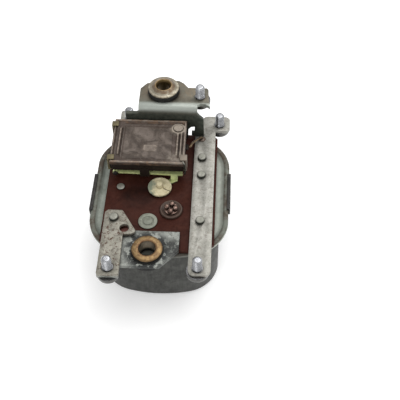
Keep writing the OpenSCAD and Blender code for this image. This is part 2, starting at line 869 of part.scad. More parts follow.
module inlet_nut() {
    x = plunger_at[0];
    color("goldenrod") difference() {
        translate([x, can_d / 2 + nut_t, port_z]) rotate([90, 0, 0])
            cylinder(r = 7.4, h = nut_t, $fn = 6);
        rod_y(x, port_z, shank_r, can_d / 2 - 1, can_d / 2 + 5);
    }
}

// ---- adjuster ----

module guide_post() {
    color("silver") difference() {
        union() {
            rod(post_at, 4.8, bt, bt + 0.7);
            rod(post_at, 2.5, ring_top + 2.2, bt + 0.7);
        }
        washer(post_at, 2.9, 2.3, bt + 0.4, bt + 1);
    }
}

module adjuster_collar() {
    color("sienna") difference() {
        union() {
            rod(adjuster_at, collar_r, bt, bt + 1.5);
            rod(adjuster_at, 4, crest_z - 0.4, bt);
        }
        rod(adjuster_at, collar_r - 0.8, bt + 0.6, bt + 2);
        rod(adjuster_at, 2 + running, crest_z - 1, bt + 1);
    }
}

module adjuster_screw() {
    top = bt + 3.6;
    slot_w = 2;
    color("darkkhaki") {
        rod(adjuster_at, 2, spring_floor + 3.2, bt + 0.7);
        difference() {
            rod(adjuster_at, knob_r, bt + 0.65, top);
            rod(adjuster_at, 1.8, top - 1.9, top + 1);
            for (a = [37, 127]) translate([adjuster_at[0], adjuster_at[1], top - 1.9])
                rotate(a) translate([-6, -slot_w / 2, 0]) cube([12, slot_w, 3]);
        }
    }
}

module adjuster_clip() {
    color("gray") washer(adjuster_at, 3.3, 2, crest_z - 1.2, crest_z - 0.45);
}

module spring_seat() {
    color("silver") difference() {
        translate([0, 0, seat_z]) linear_extrude(seat_t)
            guided_outline(adjuster_at, 5.4, 5.4);
        rod(adjuster_at, 2 + running, seat_z - 1, seat_z + seat_t + 1);
        rod(post_at, 2.5 + running, seat_z - 1, seat_z + seat_t + 1);
    }
}

module trim_spring() {
    wire = 0.5;
    color("darkgray") tube(coil(adjuster_at, 4, spring_floor + wire, seat_z - wire, 5), wire, 8);
}

pressure_can();
floor_rivets();
can_gasket();
tray_frame();
side_clips();
board_spacer();
terminal_board();
board_rivet();
right_strip();
right_strip_rivets();
left_strip();
left_strip_spacer();
left_strip_rivet();
front_bracket();
front_bush();
front_washers();
front_grommet();
rear_bracket();
rear_bush();
rear_washer();
rear_grommet();
rear_left_strip();
rear_left_rivets();
terminal_screws();
switch_base();
switch_carrier();
switch_cover();
cover_screw();
cover_clip();
wire_clip();
switch_terminals();
contact_nc();
contact_no();
blade_clamp();
contact_blade();
switch_button();
jumper_wire();
solder_joint();
switch_lever();
lever_pivot_pin();
lever_spring();
plunger_disc();
push_rod();
rod_guide();
piston_plate();
range_spring();
diaphragm();
capsule_base();
capsule_ring();
capsule_screws();
inlet_fitting();
inlet_nut();
inlet_seal();
guide_post();
adjuster_collar();
adjuster_screw();
adjuster_clip();
spring_seat();
trim_spring();
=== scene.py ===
"""Looks for the pressure switch: worn metal, phenolic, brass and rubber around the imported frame."""

import json
import math

import bmesh
import bpy
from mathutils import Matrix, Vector, noise


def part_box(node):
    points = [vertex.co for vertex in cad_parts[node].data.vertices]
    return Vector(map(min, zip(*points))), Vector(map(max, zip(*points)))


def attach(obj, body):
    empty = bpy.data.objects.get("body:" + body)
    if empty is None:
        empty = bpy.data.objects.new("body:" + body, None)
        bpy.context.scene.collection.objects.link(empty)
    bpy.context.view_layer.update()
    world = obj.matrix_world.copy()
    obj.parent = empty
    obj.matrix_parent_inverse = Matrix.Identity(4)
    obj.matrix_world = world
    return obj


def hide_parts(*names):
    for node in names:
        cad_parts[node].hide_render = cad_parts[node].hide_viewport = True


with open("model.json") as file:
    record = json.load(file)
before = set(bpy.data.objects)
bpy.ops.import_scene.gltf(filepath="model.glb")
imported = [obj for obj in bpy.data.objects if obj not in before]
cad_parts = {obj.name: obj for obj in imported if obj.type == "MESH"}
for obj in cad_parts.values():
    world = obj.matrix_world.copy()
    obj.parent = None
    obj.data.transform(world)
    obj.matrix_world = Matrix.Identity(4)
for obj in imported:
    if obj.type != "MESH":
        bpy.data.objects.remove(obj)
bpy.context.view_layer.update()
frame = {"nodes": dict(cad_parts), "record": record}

MM = 0.001
NODE_BODY = {}
for body_name, members in frame["record"]["behaviour"]["bodies"].items():
    for member in members:
        NODE_BODY[member] = body_name
NODE_SLOT = {row["node"]: row["material_slot"] for row in frame["record"]["subparts"]}
MOUNTS = {row["name"]: row for row in frame["record"]["mounts"]}


class Span:
    """The box of a CAD node, in millimetres."""

    def __init__(self, node):
        low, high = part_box(node)
        self.x0, self.y0, self.z0 = (v / MM for v in low)
        self.x1, self.y1, self.z1 = (v / MM for v in high)
        self.x = (self.x0 + self.x1) / 2
        self.y = (self.y0 + self.y1) / 2
        self.z = (self.z0 + self.z1) / 2
        self.w = self.x1 - self.x0
        self.d = self.y1 - self.y0
        self.h = self.z1 - self.z0


def mount_place(name):
    """Centre, radius and length of a mount, in millimetres."""
    row = MOUNTS[name]
    return [v / MM for v in row["pos_m"]], row["dims"]["r_mm"], row["dims"]["length_mm"]


BOARD_TOP = Span("terminal_board").z1
STRIP_T = Span("right_strip").h
COVER = Span("switch_cover")
# The plain raised pad on the cover: x0, x1, y0, y1
PAD = (COVER.x - 2.55, COVER.x + 4.45, COVER.y - 6.9, COVER.y - 2.7)


# ---------------------------------------------------------------- materials

class Graph:
    """Short calls that build one node material."""

    def __init__(self, name):
        self.material = bpy.data.materials.new(name)
        self.material.use_nodes = True
        self.tree = self.material.node_tree
        self.tree.nodes.clear()
        self.shader = self.tree.nodes.new("ShaderNodeBsdfPrincipled")
        output = self.tree.nodes.new("ShaderNodeOutputMaterial")
        self.tree.links.new(self.shader.outputs["BSDF"], output.inputs["Surface"])
        self.coords = self.tree.nodes.new("ShaderNodeTexCoord")

    def link(self, source, target):
        self.tree.links.new(source, target)

    def value(self, socket, value):
        if isinstance(value, bpy.types.NodeSocket):
            self.link(value, socket)
        else:
            socket.default_value = value

    def place(self, stretch=(1, 1, 1), turn=0):
        """Object coordinates in millimetres, stretched along the axes."""
        node = self.tree.nodes.new("ShaderNodeMapping")
        node.inputs["Scale"].default_value = [s / MM for s in stretch]
        node.inputs["Rotation"].default_value = (0, 0, math.radians(turn))
        self.link(self.coords.outputs["Object"], node.inputs["Vector"])
        return node.outputs["Vector"]

    def noise(self, scale, detail=4, rough=0.55, stretch=(1, 1, 1), warp=0, turn=0):
        node = self.tree.nodes.new("ShaderNodeTexNoise")
        node.inputs["Scale"].default_value = scale
        node.inputs["Detail"].default_value = detail
        node.inputs["Roughness"].default_value = rough
        node.inputs["Distortion"].default_value = warp
        self.link(self.place(stretch, turn), node.inputs["Vector"])
        return node.outputs["Fac"]

    def ramp(self, source, *stops):
        node = self.tree.nodes.new("ShaderNodeValToRGB")
        while len(node.color_ramp.elements) < len(stops):
            node.color_ramp.elements.new(0.5)
        for element, (place, shade) in zip(node.color_ramp.elements, stops):
            element.position = place
            element.color = (*shade, 1) if isinstance(shade, tuple) else (shade, shade, shade, 1)
        self.link(source, node.inputs["Fac"])
        return node.outputs["Color"]

    def mix(self, amount, a, b):
        node = self.tree.nodes.new("ShaderNodeMix")
        node.data_type = "RGBA"
        self.value(node.inputs[0], amount)
        for socket, value in ((node.inputs[6], a), (node.inputs[7], b)):
            self.value(socket, (*value, 1) if isinstance(value, tuple) else value)
        return node.outputs[2]

    def math(self, kind, a, b=0.5):
        node = self.tree.nodes.new("ShaderNodeMath")
        node.operation = kind
        self.value(node.inputs[0], a)
        self.value(node.inputs[1], b)
        return node.outputs[0]

    def axis(self, name):
        """One object coordinate, in millimetres."""
        node = self.tree.nodes.new("ShaderNodeSeparateXYZ")
        self.link(self.place(), node.inputs[0])
        return node.outputs[name]

    def clamped(self, value, low, high):
        """0 up to low, 1 from high on, and a straight climb between."""
        node = self.tree.nodes.new("ShaderNodeMapRange")
        self.value(node.inputs["Value"], value)
        node.inputs["From Min"].default_value = low
        node.inputs["From Max"].default_value = high
        return node.outputs["Result"]

    def between(self, value, low, high, soft=0.3):
        """1 where the value lies from low to high, with soft ends."""
        rise = self.clamped(value, low - soft, low)
        fall = self.math("SUBTRACT", 1.0, self.clamped(value, high, high + soft))
        return self.math("MINIMUM", rise, fall)

    def blots(self, scale, low, high, least=0.0, most=1.0):
        """Ragged blots of noise, from least to most."""
        return self.ramp(self.noise(scale, 6, 0.72, warp=0.4), (low, least), (high, most))

    def times(self, a, b):
        return self.math("MULTIPLY", a, b)

    def inverted(self, value):
        return self.math("SUBTRACT", 1.0, value)

    def radius(self, x, y):
        """Distance from an upright axis, in millimetres."""
        dx = self.math("SUBTRACT", self.axis("X"), x)
        dy = self.math("SUBTRACT", self.axis("Y"), y)
        square = self.math("ADD", self.math("MULTIPLY", dx, dx), self.math("MULTIPLY", dy, dy))
        return self.math("SQRT", square)

    def facing_up(self):
        """1 on level faces and 0 on upright ones."""
        surface = self.tree.nodes.new("ShaderNodeNewGeometry")
        parts = self.tree.nodes.new("ShaderNodeSeparateXYZ")
        self.link(surface.outputs["Normal"], parts.inputs[0])
        return self.ramp(parts.outputs["Z"], (0.3, 0.0), (0.85, 1.0))

    def crevice(self, reach=2.0):
        """Dark in corners, white in the open."""
        node = self.tree.nodes.new("ShaderNodeAmbientOcclusion")
        node.samples = 8
        node.inputs["Distance"].default_value = reach * MM
        return node.outputs["AO"]

    def edges(self, reach=0.3):
        """Bright along outward edges, where handling rubs a surface."""
        bevel = self.tree.nodes.new("ShaderNodeBevel")
        bevel.samples = 4
        bevel.inputs["Radius"].default_value = reach * MM
        surface = self.tree.nodes.new("ShaderNodeNewGeometry")
        match = self.tree.nodes.new("ShaderNodeVectorMath")
        match.operation = "DOT_PRODUCT"
        self.link(bevel.outputs["Normal"], match.inputs[0])
        self.link(surface.outputs["Normal"], match.inputs[1])
        turned = self.ramp(match.outputs["Value"], (0.75, 1.0), (0.98, 0.0))
        outward = self.ramp(self.crevice(0.8), (0.55, 0.0), (0.8, 1.0))
        return self.math("MULTIPLY", turned, outward)

    def bump(self, height, strength, depth, normal=None):
        node = self.tree.nodes.new("ShaderNodeBump")
        node.inputs["Strength"].default_value = strength
        node.inputs["Distance"].default_value = depth * MM
        self.link(height, node.inputs["Height"])
        if normal is not None:
            self.link(normal, node.inputs["Normal"])
        return node.outputs["Normal"]

    def finish(self, color, rough, metallic=0.0, normal=None, **sockets):
        self.value(self.shader.inputs["Base Color"], color)
        self.value(self.shader.inputs["Roughness"], rough)
        self.value(self.shader.inputs["Metallic"], metallic)
        if normal is not None:
            self.link(normal, self.shader.inputs["Normal"])
        for name, value in sockets.items():
            self.shader.inputs[name.replace("_", " ")].default_value = value
        return self.material


RUST = (0.075, 0.028, 0.014)


def scaled(color, factor):
    return tuple(min(1.0, c * factor) for c in color)


def worn_metal(name, light, dark, stain, rust=0.0, stains=0.35, rough=(0.38, 0.62), metallic=0.75,
               speck=0.6, edge=0.5, tint=None):
    """Plated sheet steel: cloudy plating, fine marks, dark specks, rust, and painted shade in corners.
    tint, if given, is a function of the graph and colour that adds marks of the piece's own and painted
    light and shade."""
    g = Graph(name)
    clouds = g.noise(0.16, 5, 0.6, warp=0.4)
    color = g.mix(g.ramp(clouds, (0.35, 0.0), (0.68, 1.0)), light, dark)
    marks = g.noise(0.9, 6, 0.7)
    color = g.mix(g.ramp(marks, (0.4, 0.0), (0.7, 0.55)), color, dark)
    patches = g.noise(0.3, 7, 0.72, warp=0.8)
    color = g.mix(g.times(g.ramp(patches, (0.5, 0.0), (0.64, 1.0)), stains), color, stain)
    specks = g.noise(1.15, 5, 0.82)
    color = g.mix(g.times(g.ramp(specks, (0.585, 0.0), (0.65, 1.0)), speck), color, stain)
    spread = g.noise(0.55, 8, 0.8, warp=0.5)
    rusty = g.times(g.ramp(spread, (0.54, 0.0), (0.6, 1.0)), rust)
    color = g.mix(rusty, color, RUST)
    color = g.mix(g.times(g.edges(), edge), color, scaled(light, 1.3))
    # Darker in corners by ambient occlusion: painted shade.
    corner_shade = g.ramp(g.crevice(), (0.3, 0.85), (0.85, 0.0))
    color = g.mix(corner_shade, color, scaled(stain, 0.4))
    if tint:
        color = tint(g, color)
    roughness = g.ramp(g.noise(0.8, 6, 0.7), (0.3, rough[0]), (0.7, rough[1]))
    roughness = g.mix(rusty, roughness, (0.85, 0.85, 0.85))
    normal = g.bump(marks, 0.3, 0.08)
    normal = g.bump(specks, 0.3, 0.1, normal)
    normal = g.bump(patches, 0.3, 0.12, normal)
    return g.finish(color, roughness, metallic, normal)


def brass(name, light, dark, tarnish, tint=None, rough=(0.3, 0.55)):
    """Turned brass under patchy brown tarnish."""
    g = Graph(name)
    clouds = g.noise(0.3, 5, 0.6, warp=0.5)
    color = g.mix(g.ramp(clouds, (0.35, 0.0), (0.65, 1.0)), light, dark)
    spots = g.noise(0.6, 6, 0.75, warp=0.4)
    color = g.mix(g.times(g.ramp(spots, (0.46, 0.0), (0.62, 1.0)), 0.8), color, tarnish)
    color = g.mix(g.times(g.edges(), 0.35), color, scaled(light, 1.4))
    # Darker in corners by ambient occlusion: painted shade.
    color = g.mix(g.ramp(g.crevice(), (0.3, 0.85), (0.8, 0.0)), color, scaled(tarnish, 0.25))
    if tint:
        color = tint(g, color)
    normal = g.bump(g.noise(2.4, 4, 0.6), 0.25, 0.05)
    normal = g.bump(spots, 0.35, 0.1, normal)
    return g.finish(color, g.ramp(spots, (0.3, rough[0]), (0.7, rough[1])), 0.8, normal)


def phenolic(name, base, worn, dust, rough=(0.4, 0.6), scuffs=0.5, shine=0.2, edge=0.6, tint=None):
    """Pressed phenolic: fine mottling, pale scuffs, painted shade in corners and paler worn edges."""
    g = Graph(name)
    mottle = g.noise(0.9, 8, 0.75)
    color = g.mix(g.ramp(mottle, (0.35, 0.0), (0.7, 1.0)), base, scaled(base, 1.6))
    broad = g.noise(0.13, 5, 0.65, warp=0.8)
    color = g.mix(g.times(g.ramp(broad, (0.42, 0.0), (0.66, 1.0)), scuffs), color, worn)
    scratches = g.noise(0.8, 6, 0.65, stretch=(0.3, 3, 1), turn=18)
    color = g.mix(g.ramp(scratches, (0.58, 0.0), (0.7, 0.35)), color, worn)
    dark = g.noise(0.35, 7, 0.75, warp=0.6)
    color = g.mix(g.ramp(dark, (0.54, 0.0), (0.68, 0.6)), color, scaled(base, 0.55))
    color = g.mix(g.times(g.edges(0.35), edge), color, dust)
    # Darker in corners by ambient occlusion: painted shade.
    color = g.mix(g.ramp(g.crevice(1.5), (0.3, 0.8), (0.85, 0.0)), color, scaled(base, 0.3))
    if tint:
        color = tint(g, color)
    roughness = g.ramp(g.noise(0.7, 6, 0.7), (0.3, rough[0]), (0.7, rough[1]))
    normal = g.bump(mottle, 0.3, 0.07)
    normal = g.bump(scratches, 0.3, 0.06, normal)
    normal = g.bump(dark, 0.3, 0.12, normal)
    return g.finish(color, roughness, 0.0, normal, Specular_IOR_Level=shine)


def rubber(name, shade=(0.009, 0.009, 0.008), dust_color=(0.03, 0.028, 0.024)):
    g = Graph(name)
    dust = g.noise(0.7, 7, 0.7)
    color = g.mix(g.ramp(dust, (0.48, 0.0), (0.75, 1.0)), shade, dust_color)
    normal = g.bump(g.noise(4, 4, 0.6), 0.3, 0.05)
    return g.finish(color, g.ramp(dust, (0.3, 0.55), (0.7, 0.8)), 0.0, normal, Specular_IOR_Level=0.25)


def nylon(name):
    """Cream nylon, grey-green towards the left, with a dark split to the right of the rod."""
    g = Graph(name)
    disc = Span("plunger_disc")
    clouds = g.noise(0.5, 6, 0.7)
    color = g.mix(g.ramp(clouds, (0.35, 0.0), (0.7, 1.0)), (0.62, 0.56, 0.38), (0.42, 0.36, 0.21))
    across = g.math("SUBTRACT", disc.x - 0.8, g.axis("X"))
    blot = g.math("ADD", g.times(across, 0.1), g.noise(0.4, 5, 0.7))
    color = g.mix(g.ramp(blot, (0.6, 0.0), (0.86, 0.85)), color, (0.13, 0.17, 0.13))
    blots = g.noise(0.45, 7, 0.75, warp=0.6)
    color = g.mix(g.ramp(blots, (0.56, 0.0), (0.66, 0.7)), color, (0.2, 0.14, 0.06))
    slope = math.radians(-28)
    along = g.math("ADD", g.times(g.math("SUBTRACT", g.axis("X"), disc.x), math.cos(slope)),
                   g.times(g.math("SUBTRACT", g.axis("Y"), disc.y), math.sin(slope)))
    aside = g.math("ADD", g.times(g.math("SUBTRACT", g.axis("X"), disc.x), -math.sin(slope)),
                   g.times(g.math("SUBTRACT", g.axis("Y"), disc.y), math.cos(slope)))
    split = g.times(g.between(aside, -0.16, 0.16, 0.12), g.between(along, 2.2, disc.w, 0.3))
    color = g.mix(split, color, (0.05, 0.035, 0.015))
    # Darker in corners by ambient occlusion: painted shade.
    color = g.mix(g.ramp(g.crevice(1.5), (0.3, 0.7), (0.85, 0.0)), color, (0.11, 0.08, 0.045))
    normal = g.bump(g.noise(1.6, 6, 0.7), 0.3, 0.08)
    normal = g.bump(g.inverted(split), 0.6, 0.2, normal)
    return g.finish(color, g.ramp(clouds, (0.3, 0.45), (0.7, 0.65)), 0.0, normal, Specular_IOR_Level=0.3)


def drawn_steel(name):
    """Dull dark grey drawn steel with vertical drawing marks and faint rust bloom."""
    g = Graph(name)
    clouds = g.noise(0.07, 5, 0.6, warp=0.5)
    color = g.mix(g.ramp(clouds, (0.3, 0.0), (0.7, 1.0)), (0.036, 0.037, 0.033), (0.066, 0.067, 0.06))
    draw = g.noise(1.3, 5, 0.6, stretch=(1, 1, 0.08))
    color = g.mix(g.ramp(draw, (0.4, 0.0), (0.75, 0.35)), color, (0.12, 0.12, 0.112))
    color = g.mix(g.blots(0.25, 0.45, 0.62, 0.0, 0.6), color, (0.022, 0.022, 0.02))
    bloom = g.noise(0.5, 8, 0.75)
    color = g.mix(g.ramp(bloom, (0.6, 0.0), (0.72, 0.4)), color, (0.07, 0.045, 0.03))
    color = g.mix(g.times(g.edges(), 0.3), color, (0.25, 0.25, 0.24))
    roughness = g.ramp(g.noise(0.4, 6, 0.7), (0.3, 0.42), (0.7, 0.58))
    normal = g.bump(draw, 0.2, 0.05)
    normal = g.bump(bloom, 0.2, 0.05, normal)
    return g.finish(color, roughness, 0.6, normal)


def tray_marks_and_shading(g, color):
    """Brown rust along the tray's darker crest, a paler right side beside it as painted light, and a dark
    front as painted shade.
    """
    tray = Span("tray_frame")
    high = g.clamped(g.axis("Z"), tray.z1 - 0.9, tray.z1 - 0.3)
    color = g.mix(g.times(high, 0.75), color, (0.105, 0.11, 0.088))
    color = g.mix(g.times(high, g.blots(0.14, 0.42, 0.58, 0.0, 0.9)), color, (0.055, 0.036, 0.022))
    # Paler towards the right, beside the crest: painted light.
    right = g.times(g.clamped(g.axis("X"), tray.x, tray.x1 - 8), g.blots(0.3, 0.3, 0.6, 0.3, 0.8))
    color = g.mix(g.times(right, g.inverted(high)), color, (0.42, 0.44, 0.385))
    # Darker towards the front: painted shade.
    front_shade = g.clamped(g.times(g.axis("Y"), -1.0), -tray.y0 - 7, -tray.y0 + 1)
    return g.mix(front_shade, color, (0.05, 0.045, 0.036))


def bush_stain(g, color):
    """Black grease round the front bush."""
    (x, y, _), _, _ = mount_place("front_bush_bore")
    near = g.between(g.radius(x, y), 0, 9.6, 4)
    color = g.mix(g.times(near, g.blots(0.26, 0.44, 0.5, 0.0, 1.0)), color, (0.022, 0.024, 0.023))
    far = g.between(g.radius(x + 12.5, y + 2), 0, 3, 4)
    color = g.mix(g.times(far, g.blots(0.3, 0.38, 0.5, 0.2, 1.0)), color, (0.025, 0.026, 0.024))
    return g.mix(g.blots(0.6, 0.54, 0.62, 0.0, 0.6), color, (0.05, 0.05, 0.045))


def bracket_light_and_stain(g, color):
    """The rear bracket: a painted highlight on the bend, a brownish plate, and a web darkened to mottled
    green-grey as painted shade.
    """
    bracket = Span("rear_bracket")
    # A pale band along the bend: painted highlight.
    bend_highlight = g.between(g.axis("Y"), bracket.y0, bracket.y0 + 3.4, 1.6)
    bend_highlight = g.times(bend_highlight, g.clamped(g.axis("Z"), bracket.z1 - 4, bracket.z1 - 1.5))
    color = g.mix(g.times(bend_highlight, 0.75), color, (0.38, 0.41, 0.375))
    plate = g.clamped(g.axis("Y"), bracket.y0 + 4, bracket.y0 + 10)
    color = g.mix(g.times(plate, g.blots(0.17, 0.4, 0.6, 0.15, 0.8)), color, (0.165, 0.13, 0.088))
    # The web below the plate is darkened, mottled green-grey: painted shade.
    web_shade = g.mix(g.blots(0.5, 0.4, 0.65), (0.03, 0.038, 0.029), (0.075, 0.083, 0.065))
    high = g.clamped(g.axis("Z"), bracket.z1 - 5.4, bracket.z1 - 3)
    return g.mix(g.times(g.inverted(high), 0.9), color, web_shade)


def board_light_and_shade(g, color):
    """A painted shadow on the board in front of the switch block, and painted light on the board inside the
    left strip's hole.
    """
    rivet = Span("board_rivet")
    # The switch block's shadow on the board: painted shadow.
    shadow_patch = g.between(g.radius(rivet.x + 9, rivet.y - 4), 0, 5, 7)
    color = g.mix(g.times(shadow_patch, g.blots(0.12, 0.35, 0.6, 0.4, 1.0)), color, (0.014, 0.0055, 0.004))
    strip = Span("left_strip")
    # Lighter reddish board inside the left strip's hole: painted light.
    hole_light = g.between(g.radius(strip.x0 + 10.7, strip.y1 - 11), 0, 2.5, 0.5)
    return g.mix(g.times(hole_light, g.blots(0.6, 0.35, 0.55, 0.5, 1.0)), color, (0.27, 0.12, 0.1))


def moulding(g, color):
    """The cover's raised ribs are rubbed pale and its hollows hold brown dirt; its upright faces are
    darkened as painted shade, and golden bands along its front and back rims are a painted highlight.
    """
    up = g.facing_up()
    high = g.clamped(g.axis("Z"), COVER.z1 - 0.75, COVER.z1 - 0.3)
    rubbed = g.times(high, g.blots(0.45, 0.36, 0.6, 0.1, 0.9))
    color = g.mix(g.times(rubbed, up), color, (0.33, 0.27, 0.22))
    screw = Span("cover_screw")
    worn = g.between(g.radius(screw.x, screw.y), 0, 3.2, 1.6)
    corner = g.between(g.radius(COVER.x1 - 4, COVER.y0 + 4), 0, 2.5, 3.5)
    chalky = g.times(g.math("MAXIMUM", worn, corner), g.blots(0.5, 0.38, 0.6, 0.1, 0.75))
    color = g.mix(chalky, color, (0.3, 0.26, 0.21))
    hollow = g.inverted(g.clamped(g.axis("Z"), COVER.z1 - 1.3, COVER.z1 - 1.0))
    color = g.mix(g.times(hollow, g.blots(0.3, 0.4, 0.6, 0.3, 0.9)), color, (0.05, 0.028, 0.02))
    # Upright faces darkened: painted shade.
    color = g.mix(g.times(g.inverted(up), 0.55), color, (0.022, 0.014, 0.01))
    pad = g.times(g.between(g.axis("X"), PAD[0] + 0.6, PAD[1] - 0.6, 1.2),
                  g.between(g.axis("Y"), PAD[2] + 0.6, PAD[3] - 0.6, 1.2))
    color = g.mix(g.times(pad, g.blots(0.6, 0.4, 0.6, 0.0, 0.45)), color, (0.2, 0.165, 0.135))
    # Golden bands along the front and back rims: painted highlight.
    front = g.between(g.axis("Y"), COVER.y0 + 0.2, COVER.y0 + 1.6, 0.4)
    back = g.between(g.axis("Y"), COVER.y1 - 2.2, COVER.y1 - 0.4, 0.4)
    gold = g.times(g.math("MAXIMUM", front, back), g.blots(0.35, 0.45, 0.6, 0.0, 0.6))
    return g.mix(gold, color, (0.17, 0.095, 0.05))


def clip_sides(g, color):
    """The clip on the right is the colour of the cover; the left ones have golden edges."""
    color = g.mix(g.times(g.edges(0.5), 0.6), color, (0.22, 0.15, 0.06))
    right = g.clamped(g.axis("X"), COVER.x, COVER.x + 1)
    return g.mix(g.times(right, 0.85), color, (0.2, 0.165, 0.135))


def flank_shade(g, color):
    """Rivet heads: their upright sides are darkened as painted shade."""
    return g.mix(g.times(g.inverted(g.facing_up()), 0.95), color, (0.018, 0.02, 0.015))


def screw_marks_and_shade(g, color):
    """Terminal screws: dull heads under bright threads, with level faces darkened as painted shade."""
    for name in MOUNTS:
        if name.endswith("_terminal"):
            (x, y, _), radius, _ = mount_place(name)
            head = g.between(g.radius(x, y), radius + 0.15, radius + 4, 0.12)
            color = g.mix(g.times(head, 0.9), color, (0.055, 0.052, 0.043))
    # Level faces darkened and blued: painted shade.
    return g.mix(g.times(g.facing_up(), 0.4), color, (0.13, 0.13, 0.15))


def rear_rings(g, color):
    """The rear bush: a pale steel rim, a brown dish, a gold ring round the hole, and painted shade inside
    the hole.
    """
    (x, y, _), bore, _ = mount_place("rear_bush_bore")
    away = g.radius(x, y)
    dish = g.between(away, bore + 1.2, bore + 2.6, 0.6)
    color = g.mix(g.times(dish, g.blots(0.35, 0.36, 0.6, 0.35, 1.0)), color, (0.15, 0.1, 0.06))
    gold = g.between(away, bore + 0.7, bore + 1.2, 0.3)
    color = g.mix(g.times(gold, 0.6), color, (0.3, 0.19, 0.075))
    # Dark golden inside the hole: painted shade.
    return g.mix(g.between(away, 0, bore + 0.6, 0.3), color, (0.085, 0.055, 0.02))


def front_rings(g, color):
    """The front bush: dark grooves at its rim and hole, and a dull brown hole that is darkened deep down as
    painted shade.
    """
    (x, y, _), bore, _ = mount_place("front_bush_bore")
    away = g.radius(x, y)
    flange = Span("front_bush").w / 2
    rim = g.between(away, flange - 0.7, flange, 0.25)
    color = g.mix(g.times(rim, g.blots(0.4, 0.36, 0.6, 0.2, 0.9)), color, (0.11, 0.065, 0.03))
    lip = g.between(away, bore + 0.1, bore + 0.8, 0.3)
    color = g.mix(g.times(lip, g.blots(0.5, 0.36, 0.6, 0.2, 0.9)), color, (0.12, 0.06, 0.03))
    hole = g.between(away, 0, bore + 0.05, 0.06)
    color = g.mix(hole, color, (0.2, 0.165, 0.12))
    # The hole darker deep down: painted shade.
    deep_shade = g.clamped(g.times(g.axis("Z"), -1.0), 0.8 - BOARD_TOP, 2.2 - BOARD_TOP)
    return g.mix(g.times(hole, deep_shade), color, (0.012, 0.011, 0.009))


def stage_material():
    g = Graph("studio_paper")
    color = g.mix(g.noise(0.02, 3, 0.5), (0.93, 0.93, 0.93), (0.95, 0.95, 0.95))
    return g.finish(color, 0.9, 0.0, Emission_Color=(1, 1, 1, 1), Emission_Strength=0.18)


ZINC = ((0.37, 0.36, 0.325), (0.25, 0.245, 0.215), (0.075, 0.068, 0.054))

